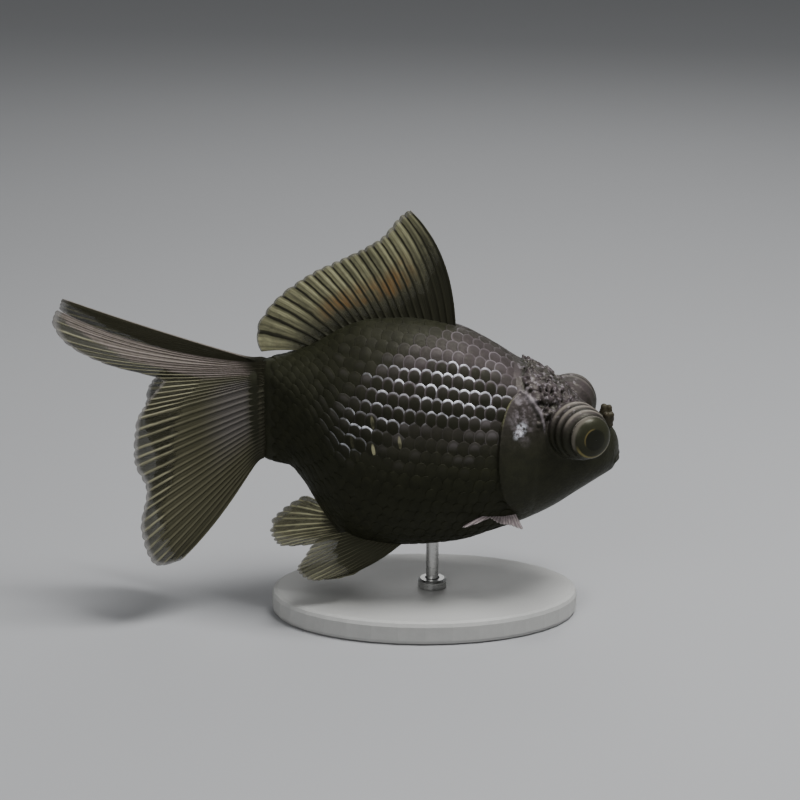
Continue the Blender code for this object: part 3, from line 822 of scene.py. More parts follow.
def scales_mesh(name, side, flank, sizes):
    """One side's coat of scales: each is a closed plate over its own place on the body."""
    template, faces = scale_template()
    along, around, ring = template.T
    places = scale_places(flank, sizes)
    rng = np.random.default_rng(SCALE_SEEDS[side])
    jitter = rng.uniform(-1, 1, (len(places), 4))
    bare = under_gill(places[:, 0], places[:, 1], flank)
    back, row, shrink = (column[~bare, None] for column in places.T)
    slip, longer, wider, rise = (column[~bare, None] for column in jitter.T)
    back, row = back + 0.0020 * slip, row + 0.05 * rise
    half_along = sizes.scale_along * HALF_ALONG * shrink * (1 + 0.09 * longer)
    half_around = HALF_AROUND * (1 + 0.08 * wider)
    place = back + along * half_along / LENGTH
    middle = flank.degrees(back, row)
    plum, band = sheen_and_highlight_band(back, middle)
    nape = (1 - ease(0.31, 0.38, back)) * ease(20, 45, middle)
    swell = (0.45 + 0.75 * band) * (1 - 0.6 * nape) * (1 - 0.35 * ease(50, 78, middle))
    height = sizes.dome_height * swell * (1 + 0.20 * rise)
    dome = 1 - np.clip(ring, 0, 1) ** 2.4
    # the rear edge lifts over the next scale, and the upper edge over the row above
    tilt = sizes.free_edge * along + 0.85 * height * (around + 1) / 2
    lift = -sizes.coat_depth + 0.00010 + 0.62 * height * dome + tilt
    lift = np.where(ring == UNDERSIDE, -sizes.coat_depth - 0.0006, lift)
    degrees = flank.degrees(place, row + around * half_around)
    points = body_point(np.clip(place, 0.2, 0.999), degrees, lift) * (1, side, 1)
    first = np.arange(len(back))[:, None] * len(template)
    all_faces = []
    for face in faces:
        all_faces += (first + (face if side > 0 else face[::-1])).tolist()
    mesh = mesh_of(name, points.reshape(-1, 3), all_faces)
    # a few scales low on the rear flank carry a gold streak
    gold = window(back, 0.60, 0.64, 0.71, 0.76) * window(middle, 4, 9, 17, 24)
    gold = gold * (rng.random(back.shape) < 0.5) * rng.uniform(0.4, 1.0, back.shape)
    marks = {
        "rim": np.clip(ring, 0, 1),
        "tone": rng.random(back.shape),
        "forward": -along,
        "upward": around,
        "plum": plum,
        "band": band * (1 - 0.75 * nape),
        "gold": gold,
    }
    spread = (len(back), len(template))
    give(mesh, **{key: np.broadcast_to(value, spread) for key, value in marks.items()})
    # each scale is a small patch at its root's place on the body's own unwrap
    u = 0.02 + 0.96 * (back - half_along / LENGTH) + 0.0015 * along
    v = 0.5 + side * 0.24 * (1 + middle / 90) + 0.0015 * around
    patch = np.stack([u.ravel(), v.ravel()], axis=-1).astype(np.float32)
    corner = np.empty(len(mesh.loops), int)
    mesh.loops.foreach_get("vertex_index", corner)
    mesh.uv_layers.new(name="OFBake").data.foreach_set("uv", patch[corner].ravel())
    return mesh


# -------------------- Fins --------------------

# How a fin is finished: number of rays, points across and along, thickness at the root and at the
# edge, pleat depth, depth of the margin's scallops, waves of the whole sheet, and how far the root
# starts inside the body (mm where not a count)
Finish = namedtuple("Finish", "rays across along root edge pleat scallop wave sunk")
DORSAL_FINISH = Finish(20, 321, 70, 1.1, 0.35, 0.10, 0.45, 0.3, 2.2)
TAIL_FINISH = Finish(36, 469, 80, 1.0, 0.35, 0.10, 0.35, 0.5, 3.2)
PECTORAL_FINISH = Finish(13, 157, 44, 0.8, 0.3, 0.14, 0.5, 0.2, 1.5)
PELVIC_FINISH = Finish(14, 169, 56, 0.9, 0.3, 0.16, 0.6, 0.3, 1.5)
ANAL_FINISH = Finish(11, 133, 44, 0.8, 0.3, 0.16, 0.7, 0.2, 1.5)
DORSAL_SEED, TAIL_SEED, SMALL_FIN_SEED = 3, 8, 20


def heading_vector(side_view, spread):
    """The direction of a heading in side view, turned out from the middle plane (degrees)."""
    h, s = np.radians(side_view), np.radians(spread)
    return np.stack([np.cos(h) * np.cos(s), np.sin(s), np.sin(h) * np.cos(s)], axis=-1)


def fan_surface(fan, u, steps, sunk, scallop=0.0):
    """Points of a fan of curved rays (len(u) x steps), and the share along the ray of each."""
    heading, curl, spread, sweep, length = (
        smooth_curve(fan.rays[:, 0], fan.rays[:, k], u)[:, None] for k in range(1, 6)
    )
    back, around = (start + (end - start) * u for start, end in zip(fan.start, fan.end))
    reach = length * LENGTH - np.reshape(scallop, (-1, 1))
    lead = sunk / reach
    v = -lead + (1 + lead) * np.linspace(0, 1, steps)
    bend = np.clip((v[:, 1:] + v[:, :-1]) / 2, 0, 1) ** 1.5
    moves = heading_vector(heading + curl * bend, spread + sweep * bend)
    moves = moves * (reach * np.diff(v))[..., None]
    start = body_point(back, around, -fan.sink)[:, None] - heading_vector(heading, spread) * sunk
    return np.concatenate([start, start + np.cumsum(moves, axis=1)], axis=1), v


def fin_mesh(name, fan, finish, side, seed):
    """A closed fin: raised rays, thinner skin between them, pleated, with a scalloped edge."""
    u = np.linspace(0, 1, finish.across)
    beat = u * finish.rays
    knots = np.arange(finish.rays + 2)
    rng = np.random.default_rng(seed)
    phase = beat + 0.15 * np.interp(beat, knots, rng.uniform(-1, 1, len(knots)))
    web = np.abs(np.sin(np.pi * phase))
    depth = 0.6 + 0.8 * np.interp(beat, knots, rng.random(len(knots)))
    scallop = finish.scallop / 1000 * (1 - web**0.8) * depth
    sheet, v = fan_surface(fan, u, finish.along, finish.sunk / 1000, scallop)
    share = np.clip(v, 0, 1)
    normal = normals_of(sheet)
    pleat = finish.pleat / 1000 * share**1.2 * np.cos(2 * np.pi * phase)[:, None]
    waves = finish.wave / 1000 * share**2 * np.sin(2 * np.pi * (u * 2.3 + 0.15))[:, None]
    sheet = sheet + normal * (pleat + waves)[..., None]
    # each ray forks in two on its way out
    ray = (1 - web[:, None]) ** 1.5
    forked = 0.5 + 0.5 * np.cos(4 * np.pi * phase)[:, None]
    ray = ray + (forked - ray) * ease(0.35, 0.8, share)
    thick = finish.root + (finish.edge - finish.root) * share**0.7
    flare = 2.2 * np.exp(-share / 0.035)
    half = (thick * (0.42 + 0.58 * ray) + flare) / 2000 * (1 - 0.75 * ease(0.97, 1.0, share))
    out = normal * half[..., None]
    points, faces = slab(sheet + out, sheet - out)
    if side > 0:
        faces = [face[::-1] for face in faces]
    mesh = mesh_of(name, points * (1, side, 1), faces)
    base_end, reach = (smooth_curve(fan.base[:, 0], fan.base[:, k], u) for k in (1, 2))
    ragged = 0.045 * np.interp(beat, knots, rng.uniform(-1, 1, len(knots)))
    beyond = share - (base_end + ragged)[:, None] - 0.03 * ray
    marks = {
        "ray_count": phase[:, None],
        "ray_share": share,
        "fan_share": u[:, None],
        "beyond": beyond,
        "rayed": ease(-1, 0, beyond / reach[:, None]),
    }
    for key, value in marks.items():
        give(mesh, **{key: np.tile(np.broadcast_to(value, v.shape).ravel(), 2)})
    give(mesh, outer=np.repeat((1.0, 0.0), v.size))
    return mesh


# -------------------- Materials --------------------

# The reflections of the dark skin are slightly green
OLIVE_TINT = (1.0, 0.98, 0.80, 1.0)
AMBER = (0.20, 0.095, 0.022)
# painted reflection on the outer face of the tail's upper lobe
SHEEN = (0.175, 0.145, 0.138)
LILAC = (0.070, 0.062, 0.066)


def fill(socket, value):
    """Links a socket to another one, or sets its value. A socket's id_data is its node tree."""
    if isinstance(value, bpy.types.NodeSocket):
        socket.id_data.links.new(value, socket)
    else:
        socket.default_value = value


def node(tree, kind, inputs=None, **settings):
    """A new node with its inputs filled and its settings made."""
    made = tree.nodes.new(kind)
    for key, value in settings.items():
        setattr(made, key, value)
    for key, value in (inputs or {}).items():
        fill(made.inputs[key], value)
    return made


def maths(operation, a, b=0.0):
    """The result of one operation on two values, of which one is a socket."""
    tree = (a if isinstance(a, bpy.types.NodeSocket) else b).id_data
    return node(tree, "ShaderNodeMath", {0: a, 1: b}, operation=operation).outputs[0]


def times(*factors):
    """The product of values."""
    product = factors[0]
    for factor in factors[1:]:
        product = maths("MULTIPLY", product, factor)
    return product


def rgba(colour):
    """An opaque colour, from three numbers or more; a socket is passed on."""
    return colour if isinstance(colour, bpy.types.NodeSocket) else (*tuple(colour)[:3], 1.0)


def faded(colour, factor):
    """A colour made darker or lighter."""
    return [part * factor for part in colour]


def blend(factor, a, b):
    """Colour a where the factor is 0 and colour b where it is 1."""
    inputs = {0: factor, 6: rgba(a), 7: rgba(b)}
    return node(factor.id_data, "ShaderNodeMix", inputs, data_type="RGBA").outputs[2]


def over(colour, top, *cover):
    """Lays the top colour over another one, as far as the product of the cover values says."""
    return blend(times(*cover), colour, top)


def span(value, low, high, start=0.0, end=1.0):
    """Eases from start at the low value to end at the high one."""
    inputs = {"Value": value, "From Min": low, "From Max": high, "To Min": start, "To Max": end}
    return node(value.id_data, "ShaderNodeMapRange", inputs, interpolation_type="SMOOTHSTEP").outputs[0]


def span_window(value, low, full, still, high):
    """0 outside low and high, 1 between full and still, and smooth between."""
    return times(span(value, low, full), span(value, high, still))


def from_whole(value):
    """How far a value is from the nearest whole number: 0 on it, and 1 half way to the next."""
    part = maths("FRACT", maths("ADD", value, 0.5))
    return times(maths("ABSOLUTE", maths("SUBTRACT", part, 0.5)), 2.0)


def object_place(tree):
    """A point's place in its object's own space."""
    return node(tree, "ShaderNodeTexCoord").outputs["Object"]


def split(vector):
    """The x, y and z of a vector."""
    return node(vector.id_data, "ShaderNodeSeparateXYZ", {0: vector}).outputs


def facing_up(tree):
    """How far the surface faces up, from -1 to 1."""
    return split(node(tree, "ShaderNodeNewGeometry").outputs["Normal"])[2]


def noise(tree, scale, detail=3.0, rough=0.55, vector=None):
    """Solid noise in the object's own space, or along a given vector."""
    inputs = {"Scale": scale, "Detail": detail, "Roughness": rough}
    inputs["Vector"] = vector or object_place(tree)
    return node(tree, "ShaderNodeTexNoise", inputs).outputs["Fac"]


def waver(tree, amount, *texture):
    """Noise to both sides of zero."""
    return times(maths("SUBTRACT", noise(tree, *texture), 0.5), amount)


def attribute(tree, name):
    """A number that the mesh carries for each of its points."""
    made = node(tree, "ShaderNodeAttribute", attribute_name=name, attribute_type="GEOMETRY")
    return made.outputs["Fac"]


def new_group(name, inputs, outputs):
    """An empty node group with its sockets: (name, kind, default) in and (name, kind) out."""
    group = bpy.data.node_groups.new(name, "ShaderNodeTree")
    for label, kind, default in inputs:
        socket = group.interface.new_socket(label, in_out="INPUT", socket_type=kind)
        socket.default_value = default
    for label, kind in outputs:
        group.interface.new_socket(label, in_out="OUTPUT", socket_type=kind)
    return group, group.nodes.new("NodeGroupInput").outputs, group.nodes.new("NodeGroupOutput").inputs


def use_group(tree, name, **inputs):
    """The outputs of a shared node group; an underscore in an input's name stands for a space."""
    made = tree.nodes.new("ShaderNodeGroup")
    made.node_tree = bpy.data.node_groups[name]
    for key, value in inputs.items():
        fill(made.inputs[key.replace("_", " ")], value)
    return made.outputs


def new_material(name):
    """A material with its shader, and the tree to build its finish in."""
    made = bpy.data.materials.new(name)
    made.use_nodes = True
    return made, made.node_tree, made.node_tree.nodes["Principled BSDF"]


def surface(shader, colour, roughness, specular=None, bump=None):
    """Fills the shader; bump is (height, strength, distance), and specular is for the fish alone."""
    fill(shader.inputs["Base Color"], colour)
    fill(shader.inputs["Roughness"], roughness)
    if bump:
        inputs = dict(zip(("Height", "Strength", "Distance"), bump))
        fill(shader.inputs["Normal"], node(shader.id_data, "ShaderNodeBump", inputs).outputs[0])
    if specular:
        shader.inputs["Specular IOR Level"].default_value = specular
        shader.inputs["Specular Tint"].default_value = OLIVE_TINT


def mottle_and_sheen_group(paint):
    """Olive mottling in the black with a painted plum sheen over it, from the skin's and the scales'
    own numbers.
    """
    inputs = [
        (label, "NodeSocketColor", rgba(colour))
        for label, colour in (("Black", paint.black), ("Plum", paint.plum), ("Olive", paint.olive))
    ]
    outputs = [("Color", "NodeSocketColor"), ("Band", "NodeSocketFloat")]
    group, given, out = new_group("goldfish_mottle_and_sheen", inputs, outputs)
    facing = facing_up(group)
    mottle = noise(group, 420.0, 4.0, 0.6)
    base = blend(span(mottle, 0.35, 0.65), given["Black"], given["Olive"])
    # painted sheen: the plum-grey lies where the surface faces up, a little less where it faces
    # straight up
    lit = times(span(facing, -0.3, 0.75, 0.30, 1.0), span(facing, 0.75, 1.0, 1.0, 0.55))
    uneven = span(mottle, 0.3, 0.7, 0.65, 1.0)
    colour = over(base, given["Plum"], attribute(group, "plum"), lit, uneven)
    fill(out["Color"], colour)
    fill(out["Band"], attribute(group, "band"))


def marks_of(tree, paint):
    """The mottling and the painted sheen in a material's own tree."""
    if "goldfish_mottle_and_sheen" not in bpy.data.node_groups:
        mottle_and_sheen_group(paint)
    black, plum, olive = rgba(paint.black), rgba(paint.plum), rgba(paint.olive)
    return use_group(tree, "goldfish_mottle_and_sheen", Black=black, Plum=plum, Olive=olive)


def skin_material(paint):
    """The mottling and painted sheen, with pale specks, and painted highlights and shade on the folds
    and rolls of the head.
    """
    made, tree, shader = new_material("goldfish_skin")

    def read(name):
        """A number that the mesh carries."""
        return attribute(tree, name)

    def patchy(low, high, start, end, *texture):
        """Noise, with start below the low value and end over the high one."""
        return span(noise(tree, *texture), low, high, start, end)

    grain = noise(tree, 1500.0, 3.0, 0.6)
    shaded_hollow = maths("MAXIMUM", read("groove"), read("cleft"))
    colour = marks_of(tree, paint)["Color"]
    # each layer's colour, and what covers the skin with it
    for top, *cover in (
        (paint.speck_and_highlight, read("crown"), patchy(0.53, 0.68, 0, 1, 900.0, 2.0, 0.5), 0.58),
        # painted highlight on the tops of the eye stalks' rolls, where they face up
        (paint.lid_highlight, read("crest"), span(facing_up(tree), 0.2, 0.85), 0.95),
        # painted shade in the grooves of the rolls and the clefts of the crown
        (faded(paint.black, 0.5), shaded_hollow, 0.75),
        # painted highlight on the cheek
        (paint.speck_and_highlight, read("cheek"), patchy(0.42, 0.66, 0, 1, 380.0, 4.0, 0.6), 0.9),
        # painted highlight along the fold
        (paint.speck_and_highlight, read("fold"), patchy(0.35, 0.60, 0.25, 1, 450.0, 3.0), 0.75),
        # painted highlight: the bright spot low on the cheek
        (paint.highlight_colour, read("spot"), patchy(0.42, 0.62, 0, 1, 850.0, 5.0, 0.7), 0.70),
        (paint.flap, read("flap"), span(grain, 0.2, 0.8, 0.5, 1.0)),
        # painted highlight on the gill cover's upper rear edge
        (paint.gill, read("gill_line"), patchy(0.3, 0.65, 0.25, 1, 500.0)),
    ):
        colour = over(colour, top, *cover)
    surface(shader, colour, span(grain, 0.3, 0.7, 0.38, 0.56), 0.20, (grain, 0.3, 0.0004))
    return made


def scale_material(paint):
    """The mottling and painted sheen, with a painted highlight along the upper front rim of the scales
    in the band.
    """
    made, tree, shader = new_material("goldfish_scales")
    marks = marks_of(tree, paint)
    band = marks["Band"]
    rim, tone, plum = attribute(tree, "rim"), attribute(tree, "tone"), attribute(tree, "plum")
    forward, upward = attribute(tree, "forward"), attribute(tree, "upward")
    broken = span(noise(tree, 700.0, 3.0), 0.30, 0.62, 0.25, 1.0)
    # painted shade: the hollow round the middle is dark, most in the band
    shaded_hollow = times(span(rim, 0.85, 0.55), span(band, 0.0, 0.6, 0.22, 0.85))
    colour = blend(shaded_hollow, marks["Color"], paint.black)
    # over the painted plum sheen, the rims carry a faint pale net of painted highlight
    net = span(rim, 0.74, 0.93)
    colour = over(colour, paint.speck_and_highlight, net, plum, span(tone, 0.0, 1.0, 0.12, 0.48))
    # and the upper part of some plates has a pale haze of painted highlight
    haze_highlight = times(
        span(upward, -0.3, 0.8),
        span(rim, 0.95, 0.55),
        maths("POWER", plum, 0.5),
        span(facing_up(tree), 0.35, 0.80, 1.0, 0.12),
        span(tone, 0.2, 1.0, 0.1, 1.0),
        span(band, 0.6, 0.1, 0.15, 1.0),
    )
    colour = over(colour, paint.speck_and_highlight, haze_highlight, 0.55)
    # the crest of each scale, a painted highlight on its upper front rim, brighter on some and missing
    # on others
    toward = maths("ADD", times(forward, 0.62), times(upward, 0.80))
    edge = times(span(rim, 0.70, 0.91), span(toward, 0.0, 0.45))
    patches = span(noise(tree, 110.0, 2.0), 0.36, 0.58, 0.22, 1.0)
    vary = times(span(tone, 0.0, 1.0, 0.15, 1.0), broken, patches)
    colour = over(colour, paint.highlight_colour, edge, vary, band, 0.95)
    # a gold streak fills a tall leaning oval on a few scales
    lean = maths("ADD", maths("SUBTRACT", forward, 0.20), times(upward, 0.18))
    wide, tall = (
        maths("POWER", maths("ABSOLUTE", maths("DIVIDE", value, half)), 2.0)
        for value, half in ((lean, 0.30), (upward, 0.80))
    )
    streak = span(maths("ADD", wide, tall), 1.0, 0.35)
    colour = over(colour, paint.streak, streak, attribute(tree, "gold"), broken, 0.8)
    roughness = span(noise(tree, 1300.0), 0.3, 0.7, 0.46, 0.62)
    grooves = maths("SINE", times(rim, 60.0))
    surface(shader, colour, roughness, 0.12, (grooves, 0.12, 0.0001))
    return made


def ray_group():
    """Masks of a rayed fin: its rays, their finer branches, the opaque base and the pale fringe."""
    inputs = [
        ("Base Softness", "NodeSocketFloat", 0.1),
        ("Ray Width", "NodeSocketFloat", 0.5),
        ("Taper", "NodeSocketFloat", 0.4),
    ]
    labels = ("Ray", "Branch", "Base", "Rayed", "Fringe", "Share", "Beyond", "Fan", "Outer", "Streak")
    outputs = [(label, "NodeSocketFloat") for label in labels]
    group, given, out = new_group("fin_rays", inputs, outputs)
    share, beyond = attribute(group, "ray_share"), attribute(group, "beyond")
    count = maths("ADD", attribute(group, "ray_count"), waver(group, 0.22, 260.0, 2.0))
    narrowing = maths("SUBTRACT", 1.0, times(share, given["Taper"]))
    wide = times(narrowing, given["Ray Width"])
    edge = maths("ADD", beyond, waver(group, 0.22, 150.0, 4.0))
    soft = given["Base Softness"]
    flow = node(group, "ShaderNodeCombineXYZ", {0: times(count, 1.3), 1: times(share, 1.8)})
    masks = {
        "Ray": span(from_whole(count), wide, times(wide, 0.35)),
        "Branch": span(from_whole(times(count, 5.0)), 0.65, 0.10),
        "Base": span(edge, soft, times(soft, -1.0)),
        "Rayed": attribute(group, "rayed"),
        "Fringe": span(share, 0.950, 0.995),
        "Share": share,
        "Beyond": beyond,
        "Fan": attribute(group, "fan_share"),
        "Outer": attribute(group, "outer"),
        "Streak": noise(group, 1.0, 6.0, 0.7, flow.outputs[0]),
    }
    for label in labels:
        fill(out[label], masks[label])


# How a kind of fin is coloured (linear colours) and how far light passes through it. The softness is
# that of the opaque base's edge; amber warms the skin beyond it and shade darkens what lies next to
# it; ray_in_base is how far the rays show in the base; sheen is a painted reflection on the outer
# face of the tail's upper lobe, and lilac is the tint of its middle; outline darkens the margin.
FinPaint = namedtuple(
    "FinPaint",
    "name base web ray fringe softness ray_width taper web_alpha ray_alpha edge_alpha"
    " amber shade ray_in_base sheen lilac outline",
    defaults=(0.0,) * 6,
)
DORSAL_PAINT = FinPaint(
    name="dorsal_fin_skin",
    base=(0.0125, 0.0125, 0.0070), web=(0.275, 0.268, 0.150), ray=(0.014, 0.013, 0.008),
    fringe=(0.15, 0.14, 0.12), softness=0.22, ray_width=0.52, taper=0.35,
    web_alpha=0.86, ray_alpha=0.96, edge_alpha=0.60, amber=0.8, shade=0.8, outline=0.7,
)
TAIL_PAINT = FinPaint(
    name="tail_fin_skin",
    base=(0.043, 0.041, 0.024), web=(0.032, 0.031, 0.017), ray=(0.205, 0.195, 0.125),
    fringe=(0.19, 0.175, 0.165), softness=0.04, ray_width=0.62, taper=0.25,
    web_alpha=0.72, ray_alpha=0.86, edge_alpha=0.50, shade=0.1, ray_in_base=0.24, sheen=0.9, lilac=0.8,
)
PECTORAL_PAINT = FinPaint(
    name="pectoral_fin_skin",
    base=(0.10, 0.085, 0.085), web=(0.42, 0.36, 0.36), ray=(0.15, 0.11, 0.13),
    fringe=(0.40, 0.36, 0.36), softness=0.03, ray_width=0.40, taper=0.2,
    web_alpha=0.90, ray_alpha=0.94, edge_alpha=0.75,
)
PELVIC_PAINT = FinPaint(
    name="pelvic_fin_skin",
    base=(0.030, 0.030, 0.018), web=(0.110, 0.107, 0.064), ray=(0.230, 0.222, 0.140),
    fringe=(0.17, 0.16, 0.13), softness=0.10, ray_width=0.42, taper=0.2,
    web_alpha=0.70, ray_alpha=0.88, edge_alpha=0.50, shade=0.3, ray_in_base=0.45,
)
ANAL_PAINT = FinPaint(
    name="anal_fin_skin",
    base=(0.030, 0.030, 0.018), web=(0.215, 0.208, 0.130), ray=(0.600, 0.580, 0.360),
    fringe=(0.18, 0.17, 0.14), softness=0.08, ray_width=0.46, taper=0.2,
    web_alpha=0.72, ray_alpha=0.92, edge_alpha=0.55, shade=0.2, ray_in_base=0.5,
)


def fin_material(look):
    """A fin: dark opaque base, dark or pale rays, and half-clear skin between them."""
    if "fin_rays" not in bpy.data.node_groups:
        ray_group()
    made, tree, shader = new_material(look.name)
    widths = {"Base_Softness": look.softness, "Ray_Width": look.ray_width, "Taper": look.taper}
    masks = use_group(tree, "fin_rays", **widths)
    ray, share, beyond, fan = masks["Ray"], masks["Share"], masks["Beyond"], masks["Fan"]

    grain = noise(tree, 900.0, 3.0)
    # the skin between the rays
    fine = times(masks["Branch"], span(share, 0.15, 0.60, 0.35, 0.75))
    web = blend(fine, look.web, faded(look.web, 0.5))
    near = times(span(beyond, 0.45, 0.0), look.shade)
    web = blend(near, web, look.base)
    web = over(web, faded(look.web, 0.6), span(grain, 0.35, 0.65), 0.5)
    patches = times(span(noise(tree, 150.0, 2.0), 0.32, 0.55), look.amber)
    next_to_base = span_window(beyond, -0.04, 0.08, 0.16, 0.36)
    web = over(web, AMBER, patches, next_to_base, span_window(fan, 0.12, 0.28, 0.65, 0.85))
    streak = span(masks["Streak"], 0.40, 0.62)
    web = over(web, faded(look.web, 0.3), streak, 0.65)
    # the rays, and the opaque base over both
    colour = blend(ray, web, over(look.ray, look.base, streak, 0.55))
    shown = times(ray, masks["Rayed"], look.ray_in_base)
    colour = over(colour, look.base, masks["Base"], maths("SUBTRACT", 1.0, shown))
    if look.lilac > 0:
        lobes = span_window(fan, 0.28, 0.42, 0.62, 0.85)
        near_root = span_window(share, 0.0, 0.12, 0.22, 0.52)
        fine = span(masks["Branch"], 1.0, 0.0, 0.45, 1.0)
        colour = over(colour, LILAC, lobes, near_root, fine, look.lilac)
    colour = over(colour, faded(look.base, 0.4), span(share, 0.02, 0.13, 0.9, 0.0))
    # painted reflection: a pinkish-grey sheen on the outer face of the tail's upper lobe
    if look.sheen > 0:
        zone = times(span(fan, 0.33, 0.24), span(share, 0.02, 0.12), masks["Base"], masks["Outer"])
        light = times(span(grain, 0.2, 0.8, 0.6, 1.0), span(ray, 0.0, 1.0, 0.75, 1.0), look.sheen)
        colour = over(colour, SHEEN, zone, light)
    # the margin
    colour = over(colour, look.fringe, masks["Fringe"], 0.6)
    colour = over(colour, faded(look.web, 0.3), span(share, 0.972, 0.992), look.outline)
    clear = blend(ray, [look.web_alpha] * 3, [look.ray_alpha] * 3)
    clear = blend(masks["Fringe"], clear, [look.edge_alpha] * 3)
    solid = maths("MAXIMUM", masks["Base"], times(near, 0.9))
    fill(shader.inputs["Alpha"], maths("MAXIMUM", clear, solid))
    ridges = maths("ADD", ray, times(masks["Branch"], 0.5))
    surface(shader, colour, span(grain, 0.3, 0.7, 0.42, 0.58), 0.22, (ridges, 0.28, 0.0002))
    return made


def eye_material(paint, radius):
    """Olive-dark, with a short gold arc behind a darker pupil, a gold painted highlight low on the rim,
    and a pale one at its upper rear.
    """
    made, tree, shader = new_material("goldfish_eye")
    x, y, _ = split(object_place(tree))
    flat = node(tree, "ShaderNodeCombineXYZ", {0: x, 1: y}).outputs[0]
    away = node(tree, "ShaderNodeVectorMath", {0: flat}, operation="LENGTH").outputs["Value"]
    away = maths("ADD", maths("DIVIDE", away, radius), waver(tree, 0.04, 300.0))
    up, ahead = attribute(tree, "eye_up"), attribute(tree, "eye_ahead")
    behind = maths("SUBTRACT", times(up, 0.6), ahead)
    colour = blend(noise(tree, 1400.0), paint.iris, faded(paint.iris, 1.35))
    for top, *cover in (
        (paint.pupil, span(away, 0.53, 0.47)),
        (paint.ring, span_window(away, 0.47, 0.51, 0.53, 0.57), span(behind, 0.25, 0.52), 0.32),
        # painted highlight: a gold line low on the rim
        (paint.gold, span_window(away, 0.80, 0.86, 0.88, 0.94), span(up, -0.15, -0.60), 0.75),
        # painted highlight on the upper rear rim
        (paint.lid_highlight, span(away, 0.88, 0.97), span(behind, 0.35, 0.95), 0.6),
    ):
        colour = over(colour, top, *cover)
    surface(shader, colour, span(noise(tree, 2000.0), 0.3, 0.7, 0.30, 0.40), 0.17)
    return made


def stand_materials():
    """Satin grey paint for the base, brushed steel for the rod and its collar."""
    paint, tree, shader = new_material("satin_paint")
    grain = noise(tree, 700.0, 4.0)
    colour = blend(grain, (0.33, 0.33, 0.32), (0.40, 0.40, 0.385))
    bump = (noise(tree, 2600.0, 2.0), 0.15, 0.0002)
    surface(shader, colour, span(grain, 0.3, 0.7, 0.42, 0.56), bump=bump)
    steel, tree, shader = new_material("brushed_steel")
    inputs = {"Vector": object_place(tree), "Scale": (1.0, 1.0, 14.0)}
    lines = noise(tree, 260.0, 4.0, 0.6, node(tree, "ShaderNodeMapping", inputs).outputs[0])
    colour = blend(lines, (0.42, 0.42, 0.41), (0.58, 0.58, 0.57))
    surface(shader, colour, span(lines, 0.3, 0.7, 0.24, 0.38))
    shader.inputs["Metallic"].default_value = 1.0
    return {"stand_base": paint, "stand_rod": steel, "stand_collar": steel}


# -------------------- What a user can change --------------------


def length_prop(name, description, default):
    """A length in metres."""
    return bpy.props.FloatProperty(
        name=name,
        description=description,
        default=default,
        min=0.0,
        subtype="DISTANCE",
        unit="LENGTH",
        precision=5,
    )


def colour_prop(name, description, default):
    """A linear colour."""
    return bpy.props.FloatVectorProperty(
        name=name, description=description, default=default, size=3, min=0.0, max=1.0, subtype="COLOR"
    )


class GoldfishSizes(bpy.types.PropertyGroup):
    """Sizes of the skin, the eyes and the scales."""

    coat_depth: length_prop("Coat Depth", "How far the skin is sunk under the scales", 0.00035)
    skin_grain: length_prop("Skin Grain", "Spacing of the skin's mesh", 0.00030)
    gill_height: length_prop("Gill Height", "How far the gill cover's rear edge stands proud", 0.0007)
    papillae: bpy.props.IntProperty(
        name="Papillae", description="Small bumps on each side of the crown", default=180, min=0
    )
    stalk_length: length_prop("Stalk Length", "Length of the eye stalk", 0.0083)
    cornea_radius: length_prop("Cornea Radius", "Radius of the eye's dome", 0.0053)
    cornea_height: length_prop("Cornea Height", "Height of the eye's dome", 0.0026)
    scale_along: length_prop("Scale Length", "Distance between scales along a row", 0.00265)
    row_height: length_prop("Row Height", "Distance between rows of scales", 0.0033)
    dome_height: length_prop("Dome Height", "How far each scale swells", 0.00046)
    free_edge: length_prop("Free Edge", "How far a scale's rear edge lifts", 0.00006)


class GoldfishColours(bpy.types.PropertyGroup):
    """Colours of the skin, the scales and the eyes."""

    black: colour_prop("Black", "The flanks and the belly", (0.0100, 0.0106, 0.0058))
    # painted sheen, laid on the upper body and the cheek
    plum: colour_prop("Plum", "The sheen of the back and the crown", (0.047, 0.036, 0.040))
    olive: colour_prop("Olive", "The mottling in the black", (0.0145, 0.0152, 0.0080))
    # pale specks on the crown, and painted highlights on the cheek, the fold and the scales
    speck_and_highlight: colour_prop("Specks", "Pale specks on the crown and the cheek", (0.21, 0.185, 0.20))
    # painted highlight, also on the upper rear rim of the eye
    lid_highlight: colour_prop("Eyelid Rolls", "The top of the rolls round the eyes", (0.150, 0.134, 0.112))
    # painted highlight: the crests of the scales and the bright spot on the cheek
    highlight_colour: colour_prop("Highlight", "The bright crest of a scale", (0.80, 0.82, 0.90))
    streak: colour_prop("Gold Streak", "The streaks on a few scales", (0.42, 0.40, 0.24))
    flap: colour_prop("Nostril Flap", "The flaps of skin at the nostrils", (0.034, 0.028, 0.017))
    # painted highlight
    gill: colour_prop("Gill Line", "The upper rear edge of the gill cover", (0.125, 0.125, 0.065))
    iris: colour_prop("Iris", "The eye round the pupil", (0.0155, 0.0160, 0.0092))
    pupil: colour_prop("Pupil", "The middle of the eye", (0.0088, 0.0094, 0.0066))
    ring: colour_prop("Pupil Arc", "The short arc behind the pupil", (0.22, 0.17, 0.06))
    # painted highlight low on the eye's rim
    gold: colour_prop("Gold Line", "The thin line low on the eye's rim", (0.20, 0.17, 0.06))


